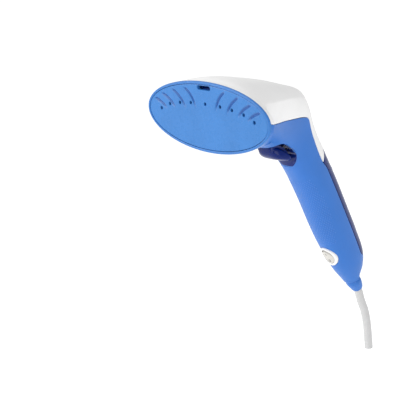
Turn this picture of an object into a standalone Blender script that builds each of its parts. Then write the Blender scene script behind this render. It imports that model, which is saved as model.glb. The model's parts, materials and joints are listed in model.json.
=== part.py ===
"""Handheld garment steamer: an oval steam head on a tapering head and handle.

The plate faces -Y with its symmetry plane at X = 0, and the handle leans back
going down. Shapes are drawn in the plate's own frame, whose origin is the
middle of the plate's front rim; the empty "steamer" then moves everything so
that the middle of the hand grip is the world's origin. Lengths are in metres;
MM turns millimetres into them.
"""

import math

import bmesh
import bpy
import numpy as np
from mathutils import Matrix, Vector

MM = 0.001

# Driving dimensions of the outer form.
PLATE_HALF_WIDTH = 72 * MM
PLATE_HALF_HEIGHT = 28.3 * MM
PLATE_EGG = 0.03  # how much wider the oval is at its top than at its middle
WALL = 2.2 * MM
GAP = 0.3 * MM
SEAM = 0.5 * MM  # between the white cover, the blue body and the tank
RIM_DEPTH = 5.2 * MM
SHELL_FRONT = 1.8 * MM
COLLAR_FRONT = 1.4  # where the skin's straight collar starts, behind the rim, in mm
REBATE = 1.4 * MM  # how far in the frame sits inside the collar

# The skin runs from the plate to the cord's end through these sections, each
# in millimetres: top or back point (y, z), underside or front point (y, z),
# half width, and roundness (2 is an ellipse, more is squarer).
SECTIONS = (
    ((4.8, 28.1), (4.8, -28.1), 71.5, 2.0),
    ((12, 29.2), (12, -28.3), 59.5, 2.1),
    ((23, 28.2), (22, -29.3), 48.5, 2.25),
    ((40, 24.4), (34, -31.0), 38.5, 2.5),
    ((59, 19.4), (46, -33.4), 31.0, 2.6),
    ((78, 12.8), (58, -37.3), 25.0, 2.6),
    ((95.5, 5.8), (69, -43.0), 21.0, 2.7),
    ((103.8, -6), (77, -49.5), 19.0, 2.6),
    ((110.0, -25), (84, -58.5), 18.0, 2.4),
    ((121.8, -50), (93, -74.5), 17.3, 2.3),
    ((136.1, -79.4), (103.8, -97.5), 16.8, 2.3),
    ((149, -108.5), (115, -124.0), 16.3, 2.3),
    ((159.3, -131.5), (126, -147.0), 15.5, 2.25),
    ((168.8, -156.5), (138, -168.3), 13.6, 2.15),
    ((167.6, -178.6), (151.2, -185.4), 8.5, 2.0),
)
LAST = len(SECTIONS) - 1

# The line between the white cover and the blue body: section number, and
# height in that section (-1 at the underside, 1 at the top or back).
COVER_SEAM = (
    (0, -0.03), (1, -0.10), (2, -0.18), (3, -0.21), (3.8, -0.18), (4.9, -0.05), (5.7, 0.08),
    (6.4, 0.25), (6.9, 0.40), (7.1, 0.40), (7.35, 0.34), (8.1, 0.30), (8.5, 0.25), (9.0, 0.23),
)
HEAD_STEPS = (-1, 0, 0.3, 0.65, 1, 1.5, 2, 2.6, 3.2, 3.9, 4.6, 5.2, 5.7, 6.1, 6.5, 6.9, 7.3, 7.8, 8.4, 9)
SPINE_START = 8.4
SPINE_END = 9.05  # the section where the cover's spine meets the tank
SPINE_ARCH = 0.38  # how far the spine's edge rises at the middle of the back
TANK_FACE = 6.8 * MM  # the tank's flat front face, behind the handle's axis
TANK_TURN = 12.75  # the section where the tank's lower corners start to round
TANK_END = 13.2
TANK_WALL = 1.8 * MM

# The handle's own frame: x as in the plate's frame, y backwards across the
# handle, z up along it. Its origin is the middle of section HANDLE_SECTION.
HANDLE_SECTION = 9
HANDLE_LEAN = math.radians(24.7)
GRIP_DOWN = 42 * MM  # the grip's middle, down the handle from its origin
HANDLE_END = 130.9 * MM
CORD_OFFSET = -2.5 * MM  # the cord's axis, ahead of the handle's axis

# Steam plate.
LIP = 2.4 * MM
PLATE_RECESS = 0.4 * MM
PLATE_DISH = 0.6 * MM
PLATE_BACK = (3.4 * MM, 4.4 * MM)  # behind the rim's ledge, and inside it
STEAM_HOLES = ((0, 10.5), (17.3, 10.1), (30.6, 8.9), (43.5, 6.6), (54.7, 2.1))
STEAM_HOLE_RADIUS = 1.4 * MM
SLOT_HEIGHT = 23.2 * MM
SLOT_HALF_LENGTH = 7.6 * MM
SLOT_RADIUS = 1.6 * MM

# Steam chamber behind the plate.
CHAMBER_FRONT = 6.5 * MM
CHAMBER_FLANGE = 1.8 * MM
CHAMBER_BACK = 24.0 * MM
CHAMBER_HALF = (36 * MM, 14 * MM)
CHAMBER_INNER = (33 * MM, 11.3 * MM)
CHAMBER_SCREWS = (25 * MM, 16.9 * MM)
COVER_THICKNESS = 2.5 * MM
ELEMENT_RADIUS = 2.7 * MM
ELEMENT_TERMINAL = (7 * MM, -6 * MM)
NOZZLE_HEIGHT = 6 * MM
SHIELD_Y = 34.5 * MM

# Trigger: outer (finger) point, inner point (y, z) and half width, in mm.
TRIGGER_SECTIONS = (
    ((60.2, -38.6), (61.6, -36.0), 6.2),
    ((61.2, -43.8), (65.2, -36.4), 9.6),
    ((64.4, -47.6), (70.2, -38.4), 12.2),
    ((69.2, -49.6), (74.6, -42.2), 13.6),
    ((74.4, -50.8), (78.0, -45.8), 13.8),
    ((78.4, -51.8), (80.2, -49.4), 10.8),
    ((80.2, -52.8), (81.0, -51.6), 6.5),
)
TRIGGER_SKIRT = (
    (61, -41), (61, -34.4), (68, -35.9), (74.5, -39.8), (79.3, -45.4),
    (81.2, -50.2), (79.4, -50.8), (72, -46),
)
TRIGGER_POCKET = (
    (54.3, -44), (54.3, -37), (56.4, -33.8), (61.5, -32.2), (67.5, -33.4),
    (73.5, -37.4), (79.2, -41.4), (82.6, -46.9), (83.4, -52.4), (84.2, -58.6),
    (82, -70), (60, -66),
)
PIVOT = (59.5 * MM, -30.8 * MM)
PIN_RADIUS = 1.25 * MM

# Power switch, low on the handle's front.
SWITCH_DOWN = 91.8 * MM
SWITCH_HALF = (8.7 * MM, 10.5 * MM)
ROCKER_HALF = (6.2 * MM, 7.5 * MM)
ROCKER_DEPTH = 4.0 * MM
ROCKER_TILT = math.radians(6)

# Cord.
CORD_RADIUS = 3.8 * MM
CORD_TAIL = (
    (169.8, -208.6), (174.0, -220.0), (176.3, -231.0), (177.3, -241.5),
    (177.8, -252.0), (178.0, -259.5),
)

SEGMENTS = 40

# Colours: name, (red, green, blue), roughness, metallic.
MATERIALS = {
    "blue_plastic": ((0.06, 0.22, 0.68), 0.38, 0.0),
    "white_plastic": ((0.86, 0.87, 0.88), 0.32, 0.0),
    "plate_blue": ((0.10, 0.32, 0.80), 0.25, 0.0),
    "navy_plastic": ((0.01, 0.03, 0.16), 0.18, 0.0),
    "tank_plastic": ((0.02, 0.05, 0.22), 0.12, 0.0),
    "switch_white": ((0.85, 0.84, 0.80), 0.30, 0.0),
    "cord_white": ((0.78, 0.78, 0.77), 0.50, 0.0),
    "pump_iron": ((0.05, 0.05, 0.06), 0.55, 0.0),
    "cast_aluminium": ((0.62, 0.63, 0.65), 0.45, 1.0),
    "steel": ((0.60, 0.60, 0.62), 0.30, 1.0),
    "brass": ((0.75, 0.58, 0.28), 0.35, 1.0),
    "silicone": ((0.75, 0.30, 0.22), 0.60, 0.0),
    "clear_hose": ((0.80, 0.82, 0.84), 0.30, 0.0),
    "insulator": ((0.80, 0.76, 0.66), 0.70, 0.0),
    "chassis_grey": ((0.30, 0.31, 0.33), 0.55, 0.0),
    "board_green": ((0.03, 0.25, 0.10), 0.45, 0.0),
    "black_plastic": ((0.03, 0.03, 0.03), 0.45, 0.0),
    "red_wire": ((0.60, 0.05, 0.04), 0.45, 0.0),
    "blue_wire": ((0.05, 0.15, 0.55), 0.45, 0.0),
}


# Scene, frames and small helpers.

def clear_scene():
    for obj in list(bpy.data.objects):
        bpy.data.objects.remove(obj, do_unlink=True)
    for collection in list(bpy.data.collections):
        bpy.data.collections.remove(collection)


def new_collection(name):
    collection = bpy.data.collections.new(name)
    bpy.context.scene.collection.children.link(collection)
    return collection


clear_scene()
PARTS = new_collection("handheld_steamer")
CUTTERS = new_collection("cutters")


def material(name):
    if name in bpy.data.materials:
        return bpy.data.materials[name]
    colour, roughness, metallic = MATERIALS[name]
    made = bpy.data.materials.new(name)
    made.use_nodes = True
    shader = made.node_tree.nodes["Principled BSDF"]
    shader.inputs["Base Color"].default_value = (*colour, 1)
    shader.inputs["Roughness"].default_value = roughness
    shader.inputs["Metallic"].default_value = metallic
    return made


def section_values(t):
    """Catmull-Rom through SECTIONS: back/top point, front/underside point, half width, roundness.

    From -1 to 0 the skin is a straight collar behind the plate's rim.
    """
    if t < 0:
        back, height, width = SECTIONS[0][0][0], SECTIONS[0][0][1], SECTIONS[0][2]
        y = (back + (back - COLLAR_FRONT) * t) * MM
        return Vector((0, y, height * MM)), Vector((0, y, -height * MM)), width * MM, 2.0
    t = min(t, LAST - 1e-9)
    first = int(t)
    f = t - first
    rows = [np.array((*s[0], *s[1], s[2], s[3])) for s in SECTIONS]
    rows = [2 * rows[0] - rows[1]] + rows + [2 * rows[-1] - rows[-2]]
    a, b, c, d = rows[first : first + 4]
    v = 0.5 * (2 * b + (c - a) * f + (2 * a - 5 * b + 4 * c - d) * f**2 + (3 * b - 3 * c + d - a) * f**3)
    top = Vector((0, v[0] * MM, v[1] * MM))
    front = Vector((0, v[2] * MM, v[3] * MM))
    return top, front, v[4] * MM, v[5]


def skin_point(t, angle, inset=0.0):
    """A point of the skin in section t, at an angle from the top or back towards +X."""
    top, front, width, roundness = section_values(t)
    centre = (top + front) / 2
    depth = (top - front).length / 2 - inset
    unit = (top - front).normalized()
    c, s = math.cos(angle), math.sin(angle)
    along = math.copysign(abs(c) ** (2 / roundness), c)
    side = math.copysign(abs(s) ** (2 / roundness), s)
    egg = PLATE_EGG * min(1.0, max(0.0, 1 - t / 4))
    return centre + unit * depth * along + Vector(((width - inset) * side * (1 + egg * along), 0, 0))


def angle_at(t, height):
    """The angle in section t of a point at this height, from -1 to 1."""
    roundness = section_values(t)[3]
    height = max(-1.0, min(1.0, height))
    return math.acos(math.copysign(abs(height) ** (roundness / 2), height))


def section_depth(t):
    top, front, _, _ = section_values(t)
    return (top - front).length / 2


TOP_9, FRONT_9, _, _ = section_values(HANDLE_SECTION)
HANDLE_ORIGIN = (TOP_9 + FRONT_9) / 2
HANDLE_TURN = Matrix.Rotation(HANDLE_LEAN, 4, "X")
HANDLE_FRAME = Matrix.Translation(HANDLE_ORIGIN) @ HANDLE_TURN


def from_handle(x, back, down):
    """A point of the handle's frame in the plate's frame."""
    return HANDLE_FRAME @ Vector((x, back, -down))


def to_handle(point):
    return HANDLE_FRAME.inverted() @ point


def empty(name, parent, matrix):
    made = bpy.data.objects.new(name, None)
    PARTS.objects.link(made)
    made.parent = parent
    made.matrix_local = matrix
    return made


STEAMER = empty("steamer", None, Matrix.Translation(-from_handle(0, 0, GRIP_DOWN)))
HANDLE = empty("handle_frame", STEAMER, HANDLE_FRAME)


def add_object(name, mesh, material_name, parent, matrix):
    obj = bpy.data.objects.new(name, mesh)
    if material_name:
        mesh.materials.append(material(material_name))
        PARTS.objects.link(obj)
    else:
        CUTTERS.objects.link(obj)
        obj.hide_render = True
        obj.display_type = "WIRE"
    obj.parent = parent or STEAMER
    obj.matrix_local = matrix or Matrix()
    return obj


def finish_mesh(name, bm, material_name, parent=None, matrix=None, smooth=True):
    bmesh.ops.recalc_face_normals(bm, faces=bm.faces)
    mesh = bpy.data.meshes.new(name)
    bm.to_mesh(mesh)
    bm.free()
    if smooth:
        mesh.shade_smooth()
        mesh.set_sharp_from_angle(angle=math.radians(35))
    return add_object(name, mesh, material_name, parent, matrix)


def loft(name, rings, material_name, parent=None, matrix=None, closed=False):
    """A solid through rings of equal point counts; closed joins the last ring to the first."""
    bm = bmesh.new()
    loops = [[bm.verts.new(p) for p in ring] for ring in rings]
    count = len(rings[0])
    pairs = list(zip(loops, loops[1:]))
    if closed:
        pairs.append((loops[-1], loops[0]))
    for first, second in pairs:
        for i in range(count):
            j = (i + 1) % count
            bm.faces.new((first[i], first[j], second[j], second[i]))
    if not closed:
        bm.faces.new(loops[0])
        bm.faces.new(loops[-1])
    return finish_mesh(name, bm, material_name, parent, matrix)


def shell(name, rows, material_name, thickness):
    """An open grid of points made into a wall that grows inwards."""
    bm = bmesh.new()
    grid = [[bm.verts.new(p) for p in row] for row in rows]
    for upper, lower in zip(grid, grid[1:]):
        for i in range(len(upper) - 1):
            bm.faces.new((upper[i], upper[i + 1], lower[i + 1], lower[i]))
    bmesh.ops.remove_doubles(bm, verts=bm.verts, dist=0.02 * MM)
    mesh = bpy.data.meshes.new(name)
    bm.to_mesh(mesh)
    bm.free()
    mesh.shade_smooth()
    mesh.set_sharp_from_angle(angle=math.radians(35))
    obj = add_object(name, mesh, material_name, None, None)
    wall = obj.modifiers.new("wall", "SOLIDIFY")
    wall.thickness = thickness
    wall.offset = -1
    wall.use_even_offset = False
    wall.use_quality_normals = True
    return obj


def boolean(obj, other, operation="DIFFERENCE"):
    made = obj.modifiers.new(other.name, "BOOLEAN")
    made.operation = operation
    made.object = other
    return obj


def box(name, low, high, material_name=None, parent=None, bevel=0.0):
    """A box between two corners, in millimetres of the parent's frame."""
    low, high = Vector(low) * MM, Vector(high) * MM
    bm = bmesh.new()
    bmesh.ops.create_cube(bm, size=1)
    size = high - low
    bmesh.ops.scale(bm, vec=size, verts=bm.verts)
    centre = (low + high) / 2
    obj = finish_mesh(name, bm, material_name, parent, Matrix.Translation(centre), smooth=False)
    if bevel:
        edge = obj.modifiers.new("edges", "BEVEL")
        edge.width = bevel * MM
        edge.segments = 2
    return obj


def rod(name, start, end, radius, material_name=None, parent=None, sides=16, end_radius=None):
    """A cylinder or cone between two points of the parent's frame, in metres."""
    start, end = Vector(start), Vector(end)
    bm = bmesh.new()
    bmesh.ops.create_cone(
        bm, cap_ends=True, segments=sides, radius1=radius,
        radius2=radius if end_radius is None else end_radius, depth=(end - start).length,
    )
    turn = (end - start).to_track_quat("Z", "Y").to_matrix().to_4x4()
    return finish_mesh(name, bm, material_name, parent, Matrix.Translation((start + end) / 2) @ turn)


def prism(name, outline, half_width, material_name=None):
    """An outline in the (y, z) plane, in millimetres, drawn out both ways along X."""
    rings = [
        [Vector((x, y * MM, z * MM)) for y, z in outline]
        for x in (-half_width, half_width)
    ]
    return loft(name, rings, material_name)


def turned(name, profile, material_name, start, direction, parent=None, ring=False, steps=20):
    """A profile of (radius, distance) in millimetres turned about the line from start along direction."""
    mesh = bpy.data.meshes.new(name)
    points = [(r * MM, 0, z * MM) for r, z in profile]
    edges = [(i, i + 1) for i in range(len(points) - 1)]
    if ring:
        edges.append((len(points) - 1, 0))
    mesh.from_pydata(points, edges, [])
    turn = Vector(direction).to_track_quat("Z", "Y").to_matrix().to_4x4()
    obj = add_object(name, mesh, material_name, parent, Matrix.Translation(start) @ turn)
    screw = obj.modifiers.new("turn", "SCREW")
    screw.steps = steps
    screw.render_steps = steps
    screw.use_merge_vertices = True
    screw.merge_threshold = 0.00001
    screw.use_smooth_shade = True
    return obj


def rounded_path(points, radius, steps=3):
    """The polyline's points in metres with each inner corner turned into an arc."""
    points = [Vector(p) for p in points]
    path = [points[0]]
    for before, corner, after in zip(points, points[1:], points[2:]):
        a = (before - corner).normalized()
        b = (after - corner).normalized()
        reach = min(radius, (before - corner).length / 2.2, (after - corner).length / 2.2)
        for i in range(steps + 1):
            f = i / steps
            path.append(corner + a * reach * (1 - f) ** 2 + b * reach * f**2)
    path.append(points[-1])
    return path


def wire(name, points, radius, material_name, parent=None, sides=2):
    """A round wire, hose or cord along a polyline, as a mesh-ready curve."""
    curve = bpy.data.curves.new(name, "CURVE")
    curve.dimensions = "3D"
    spline = curve.splines.new("POLY")
    spline.points.add(len(points) - 1)
    for target, point in zip(spline.points, points):
        target.co = (*point, 1)
    curve.bevel_depth = radius
    curve.bevel_resolution = sides
    curve.use_fill_caps = True
    curve.materials.append(material(material_name))
    obj = bpy.data.objects.new(name, curve)
    PARTS.objects.link(obj)
    obj.parent = parent or STEAMER
    obj.matrix_local = Matrix()
    return obj


def screw(name, tip, direction, length, radius, head_radius, head, parent=None):
    """A pan-head screw: tip to head along direction, lengths in millimetres."""
    profile = (
        (0, length + head), (head_radius * 0.7, length + head),
        (head_radius, length + head * 0.45), (head_radius, length),
        (radius, length), (radius, 0.6), (0, 0),
    )
    return turned(name, profile, "steel", tip, direction, parent, steps=12)


def coil(name, centre, radius, wire_radius, height, turns, parent=None, points=10):
    """A compression spring standing on centre, along Z of the parent's frame."""
    count = turns * points
    path = []
    for i in range(count + 1):
        a = 2 * math.pi * i / points
        path.append(Vector(centre) + Vector((radius * math.cos(a), radius * math.sin(a), height * i / count)))
    return wire(name, path, wire_radius, "steel", parent, sides=1)


def oval(half_width, half_height, y, egg=0.0, power=2.0, segments=SEGMENTS):
    ring = []
    for i in range(segments):
        a = 2 * math.pi * i / segments
        c, s = math.cos(a), math.sin(a)
        x = math.copysign(abs(c) ** (2 / power), c)
        z = math.copysign(abs(s) ** (2 / power), s)
        ring.append(Vector((half_width * x * (1 + egg * z), y, half_height * z)))
    return ring


# Where things lie on the handle's surface.

HANDLE_STEPS = [i / 20 for i in range(20 * 8, 20 * LAST + 1)]
HANDLE_MIDDLES = [to_handle((section_values(t)[0] + section_values(t)[1]) / 2) for t in HANDLE_STEPS]


def handle_section(down):
    return float(np.interp(down, [-m.z for m in HANDLE_MIDDLES], HANDLE_STEPS))


def surface(x, down, side):
    """How far back the skin lies at x and down the handle; side is -1 for the front, 1 for the back."""
    t = handle_section(down)
    top, front, width, roundness = section_values(t)
    middle = to_handle((top + front) / 2).y
    depth = (top - front).length / 2
    return middle + side * depth * max(0.0, 1 - abs(x / width) ** roundness) ** (1 / roundness)


def on_surface(half, centre_down, grow, lift, side, segments=32):
    """An oval ring that follows the handle's surface, lifted off it, in the handle's frame."""
    ring = []
    for i in range(segments):
        a = 2 * math.pi * i / segments
        x = (half[0] + grow) * math.cos(a)
        down = centre_down + (half[1] + grow) * math.sin(a)
        ring.append(Vector((x, surface(x, down, side) + side * lift, -down)))
    return ring


# Outer shells.

def cover_height(t):
    return float(np.interp(t, [s[0] for s in COVER_SEAM], [s[1] for s in COVER_SEAM]))


def tank_height(t):
    """The height in section t of the edge between the tank and the blue body."""
    top, front, _, _ = section_values(t)
    middle = to_handle((top + front) / 2).y
    height = (TANK_FACE - middle) / section_depth(t)
    turn = max(0.0, (t - TANK_TURN) / (TANK_END - TANK_TURN))
    return min(1.0, height + (1 - height) * turn**2)


def spine_edge(angle):
    return SPINE_END - SPINE_ARCH * max(0.0, math.cos(angle)) ** 2


def cover_rows():
    columns = 18
    rows = []
    for t in (*HEAD_STEPS, SPINE_END):
        limit = angle_at(t, cover_height(t) + SEAM / 2 / section_depth(t))
        row = []
        for i in range(columns + 1):
            angle = limit * (2 * i / columns - 1)
            stretch = (spine_edge(angle) - 0.012 - SPINE_START) / (SPINE_END - SPINE_START)
            row.append(skin_point(t if t < SPINE_START else SPINE_START + (t - SPINE_START) * stretch, angle))
        rows.append(row)
    return rows


def frame_rebate():
    """The room that the plate's frame takes inside the collar."""
    rings = [
        oval(PLATE_HALF_WIDTH - REBATE - d, PLATE_HALF_HEIGHT - REBATE - d, y * MM, PLATE_EGG, segments=48)
        for d, y in ((0, -3), (0, 4), (1.8 * MM, 5.6))
    ]
    return loft("frame_rebate", rings, None)


def make_head_cover():
    cover = shell("head_cover", cover_rows(), "white_plastic", WALL)
    boolean(cover, box("cover_trim", (-90, -20, -60), (90, SHELL_FRONT / MM, 60)))
    boolean(cover, frame_rebate())
    for x in (-24, 24):
        post = rod("cover_post", (x * MM, 42 * MM, -1.7 * MM), (x * MM, 42 * MM, 18.6 * MM), 3.2 * MM)
        boolean(cover, post, "UNION")
    for x in (-24, 24):
        hole = rod("cover_pilot", (x * MM, 42 * MM, -5 * MM), (x * MM, 42 * MM, 9 * MM), 1.5 * MM, sides=12)
        boolean(cover, hole)
    return cover


def body_rows():
    grip = (9.6, 10.3, 11, 11.7, 12.3, 12.7, 12.9, 13.05, TANK_END, 13.4, 13.6, 13.8, LAST)
    columns = 22
    rows = []
    for t in HEAD_STEPS + grip:
        height = cover_height(t) if t <= 9 else tank_height(t)
        if t < TANK_END:
            height -= SEAM / 2 / section_depth(t)
        limit = angle_at(t, height)
        rows.append([
            skin_point(t, limit + (2 * math.pi - 2 * limit) * i / columns) for i in range(columns + 1)
        ])
    return rows


def make_body_shell():
    body = shell("body_shell", body_rows(), "blue_plastic", WALL)
    boolean(body, box("body_trim", (-90, -20, -60), (90, SHELL_FRONT / MM, 60)))
    boolean(body, frame_rebate())
    for x in (-24, 24):
        post = rod("body_post", (x * MM, 42 * MM, -25.4 * MM), (x * MM, 42 * MM, -2.1 * MM), 3.4 * MM)
        boolean(body, post, "UNION")
    for side in (-1, 1):
        for x, down in ((9.5, 4), (9.3, 76)):
            post = rod(
                "chassis_post", (side * x * MM, -13.6 * MM, -down * MM), (side * x * MM, 0, -down * MM),
                2.6 * MM, parent=HANDLE, sides=12,
            )
            boolean(body, post, "UNION")
        post = rod(
            "clamp_post", (side * 6.4 * MM, -12.6 * MM, -115 * MM), (side * 6.4 * MM, 1.3 * MM, -115 * MM),
            2.1 * MM, parent=HANDLE, sides=12,
        )
        boolean(body, post, "UNION")
    for x in (-24, 24):
        head = rod("screw_recess", (x * MM, 42 * MM, -45 * MM), (x * MM, 42 * MM, -22 * MM), 2.7 * MM, sides=14)
        boolean(body, head)
        hole = rod("screw_way", (x * MM, 42 * MM, -30 * MM), (x * MM, 42 * MM, 0), 1.7 * MM, sides=12)
        boolean(body, hole)
    for side in (-1, 1):
        for x, down, end in ((9.5, 4, 3), (9.3, 76, 3), (6.4, 115, 3)):
            hole = rod(
                "post_pilot", (side * x * MM, -9.5 * MM, -down * MM), (side * x * MM, end * MM, -down * MM),
                1.1 * MM, parent=HANDLE, sides=10,
            )
            boolean(body, hole)
    boolean(body, prism("trigger_pocket", TRIGGER_POCKET, 27 * MM))
    rings = [
        [Vector((p.x, y * MM, p.z)) for p in on_surface(SWITCH_HALF, SWITCH_DOWN, -0.7 * MM, 0, -1)]
        for y in (-24, -8)
    ]
    boolean(body, loft("switch_hole", rings, None, HANDLE))
    return body


def tank_ring(step, inset, top_down, bottom, columns=16):
    """One section of the tank, its arc along the skin and its front face flat."""
    ring = []
    t = SPINE_END + (bottom - SPINE_END) * step
    lift = (SEAM / 2 + 0.1 * MM + inset) / section_depth(t)
    limit = angle_at(t, tank_height(t) + lift)
    for i in range(columns + 1):
        angle = limit * (2 * i / columns - 1)
        start = spine_edge(angle) + 0.012 + top_down
        ring.append(skin_point(start + (bottom - start) * step, angle, inset))
    return ring


def make_water_tank():
    steps = [0, 0.12, 0.28, 0.44, 0.6, 0.74, 0.84, 0.9, 0.95, 0.985]
    rings = [tank_ring(s, 0, 0, TANK_END) for s in steps]
    tank = loft("water_tank", rings, "tank_plastic")
    spigot = rod("tank_spigot", (0, -0.6 * MM, -98 * MM), (0, 9.6 * MM, -98 * MM), 2.4 * MM, parent=HANDLE, sides=14)
    boolean(tank, spigot, "UNION")
    inner = [tank_ring(s, TANK_WALL, 0.07, TANK_END - 0.2) for s in steps[:-2]]
    boolean(tank, loft("tank_inside", inner, None))
    bore = rod("spigot_bore", (0, -4 * MM, -98 * MM), (0, 11 * MM, -98 * MM), 1.3 * MM, parent=HANDLE, sides=12)
    boolean(tank, bore)
    mouth = rod("tank_mouth", (0, 12 * MM, -18 * MM), (0, 26 * MM, -18 * MM), 5.2 * MM, parent=HANDLE, sides=20)
    boolean(tank, mouth)
    return tank


def make_filler_cap():
    size = (0.0, 0.0)
    rings = [
        on_surface(size, 18 * MM, r * MM, lift * MM, 1, 20)
        for r, lift in ((1.5, 1.2), (4.5, 1.2), (6.6, 1.1), (7.4, 0.8), (7.4, 0.3), (4.8, 0.3))
    ]
    floor = surface(0, 18 * MM, 1) - 3.4 * MM
    for r in (4.8, 1.5):
        rings.append([Vector((p.x, floor, p.z)) for p in on_surface(size, 18 * MM, r * MM, 0, 1, 20)])
    cap = loft("filler_cap", rings, "navy_plastic", HANDLE)
    back = surface(0, 26 * MM, 1)
    strap = box(
        "cap_strap", (-2.5, back / MM + 0.4, -28.4), (2.5, back / MM + 1.2, -23.5), parent=HANDLE,
    )
    boolean(cap, strap, "UNION")
    return cap


# Steam head.

def make_plate_frame():
    inner = REBATE + 0.2 * MM
    outline = (
        (0, 1.5 * MM), (0, 1.1 * MM), (0.4 * MM, 0.3 * MM), (1.1 * MM, 0), (2.0 * MM, 0),
        (LIP, 0.5 * MM), (LIP, 3.7 * MM), (4.8 * MM, 3.7 * MM), (4.8 * MM, RIM_DEPTH),
        (inner + 1.8 * MM, RIM_DEPTH), (inner, 3.9 * MM), (inner, 1.5 * MM),
    )
    rings = [
        oval(PLATE_HALF_WIDTH - d, PLATE_HALF_HEIGHT - d, y, PLATE_EGG, segments=48) for d, y in outline
    ]
    frame = loft("plate_frame", rings, "blue_plastic", closed=True)
    return boolean(frame, loft("frame_slot", [slot_ring(y, 0) for y in (2 * MM, 9 * MM)], None))


def plate_ring(share, y=None):
    """An oval of the steam plate; its front is dished unless a y is given."""
    half_width = PLATE_HALF_WIDTH - LIP - GAP
    half_height = PLATE_HALF_HEIGHT - LIP - GAP
    if y is None:
        y = PLATE_RECESS + PLATE_DISH * (1 - share**2)
    return oval(half_width * share, half_height * share, y, PLATE_EGG, segments=48)


def make_steam_plate():
    rings = [plate_ring(share) for share in (0.3, 0.65, 0.9, 1.0)]
    edge, middle = PLATE_BACK
    rings += [plate_ring(share, y) for share, y in ((1.0, edge), (0.89, edge), (0.86, middle), (0.3, middle))]
    plate = loft("steam_plate", rings, "plate_blue")
    for x in (-CHAMBER_SCREWS[0], CHAMBER_SCREWS[0]):
        for z in (-CHAMBER_SCREWS[1], CHAMBER_SCREWS[1]):
            post = rod("plate_post", (x, 3.0 * MM, z), (x, 6.2 * MM, z), 2.1 * MM, sides=12)
            boolean(plate, post, "UNION")
            pilot = rod("plate_pilot", (x, 2.2 * MM, z), (x, 9 * MM, z), 1.15 * MM, sides=10)
            boolean(plate, pilot)
    for x, z in STEAM_HOLES:
        for side in (-1, 1) if x else (1,):
            start = Vector((side * x, -2, z)) * MM
            hole = rod("steam_hole", start, start + Vector((0, 9 * MM, 0)), STEAM_HOLE_RADIUS, sides=8)
            boolean(plate, hole)
    boolean(plate, loft("brush_slot", [slot_ring(y, 0) for y in (-2 * MM, 7 * MM)], None))
    return plate


def slot_ring(y, shrink):
    """A stadium outline across the plate's top."""
    radius = SLOT_RADIUS - shrink
    ring = []
    for side in (1, -1):
        for i in range(7):
            a = math.pi * i / 6 - math.pi / 2
            ring.append(Vector((
                side * (SLOT_HALF_LENGTH - SLOT_RADIUS + radius * math.cos(a)), y,
                SLOT_HEIGHT + side * radius * math.sin(a),
            )))
    return ring


def make_brush_socket():
    """The dark pocket behind the slot, which a brush's hook enters."""
    outer, inner = -0.9 * MM, 0.1 * MM
    front, back = 5.5 * MM, 9.6 * MM
    rings = [
        slot_ring(back, outer), slot_ring(front, outer),
        slot_ring(front, inner), slot_ring(back - 1 * MM, inner),
    ]
    return loft("brush_socket", rings, "navy_plastic")


def make_chamber_gasket():
    front = PLATE_BACK[1] + 0.1 * MM
    back = CHAMBER_FRONT - 0.1 * MM
    outline = ((1, front), (1, back), (-1, back), (-1, front))
    rings = [oval((59 + d) * MM, (14.2 + d) * MM, y, power=2.4) for d, y in outline]
    return loft("chamber_gasket", rings, "silicone", closed=True)


def make_steam_chamber():
    flange = (60.4 * MM, 19.6 * MM)
    back_of_flange = CHAMBER_FRONT + CHAMBER_FLANGE
    rings = [
        oval(*flange, CHAMBER_FRONT, power=2.5),
        oval(*flange, back_of_flange, power=2.5),
        oval(*CHAMBER_HALF, back_of_flange),
        oval(*CHAMBER_HALF, CHAMBER_BACK),
        oval(*CHAMBER_INNER, CHAMBER_BACK),
        oval(*CHAMBER_INNER, 12 * MM),
    ]
    chamber = loft("steam_chamber", rings, "cast_aluminium")
    for x in (-CHAMBER_SCREWS[0], CHAMBER_SCREWS[0]):
        for z in (-CHAMBER_SCREWS[1], CHAMBER_SCREWS[1]):
            boolean(chamber, rod("flange_hole", (x, 4 * MM, z), (x, 11 * MM, z), 1.4 * MM, sides=10))
    for x, z in ((-20, 5), (0, 6), (20, 5)):
        boolean(chamber, rod("steam_way", (x * MM, 4 * MM, z * MM), (x * MM, 15 * MM, z * MM), 2 * MM, sides=10))
    for x, z in LID_SCREWS:
        boolean(chamber, rod("lid_pilot", (x * MM, 17 * MM, z * MM), (x * MM, 26 * MM, z * MM), 0.9 * MM, sides=8))
    return chamber


LID_SCREWS = ((-34.5, 0), (34.5, 0), (0, 12.65), (0, -12.65))


def make_chamber_lid():
    front = CHAMBER_BACK + GAP
    rings = [oval(*CHAMBER_HALF, y) for y in (front, front + COVER_THICKNESS)]
    lid = loft("chamber_lid", rings, "cast_aluminium")
    for x, z in LID_SCREWS:
        boolean(lid, rod("lid_hole", (x * MM, 20 * MM, z * MM), (x * MM, 30 * MM, z * MM), 1.2 * MM, sides=8))
    for x in (-ELEMENT_TERMINAL[0], ELEMENT_TERMINAL[0]):
        z = ELEMENT_TERMINAL[1]
        boolean(lid, rod("terminal_hole", (x, 20 * MM, z), (x, 30 * MM, z), ELEMENT_RADIUS + GAP, sides=12))
    boolean(lid, rod("nozzle_hole", (0, 20 * MM, NOZZLE_HEIGHT), (0, 30 * MM, NOZZLE_HEIGHT), 2.1 * MM, sides=12))
    return lid


def make_heating_element():
    x0, z0 = ELEMENT_TERMINAL
    y = 17 * MM
    reach = 18 * MM
    points = [(-x0, 38 * MM, z0), (-x0, y, z0)]
    for side in (-1, 1):
        arc = [
            (side * (reach + 6 * MM * math.sin(a)), y, side * -6 * MM * math.cos(a) * side)
            for a in np.linspace(0, math.pi, 7)
        ]
        points += arc if side < 0 else arc[::-1]
    points += [(x0, y, z0), (x0, 38 * MM, z0)]
    return wire("heating_element", rounded_path(points, 3.5 * MM, 2), ELEMENT_RADIUS, "steel")


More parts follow.
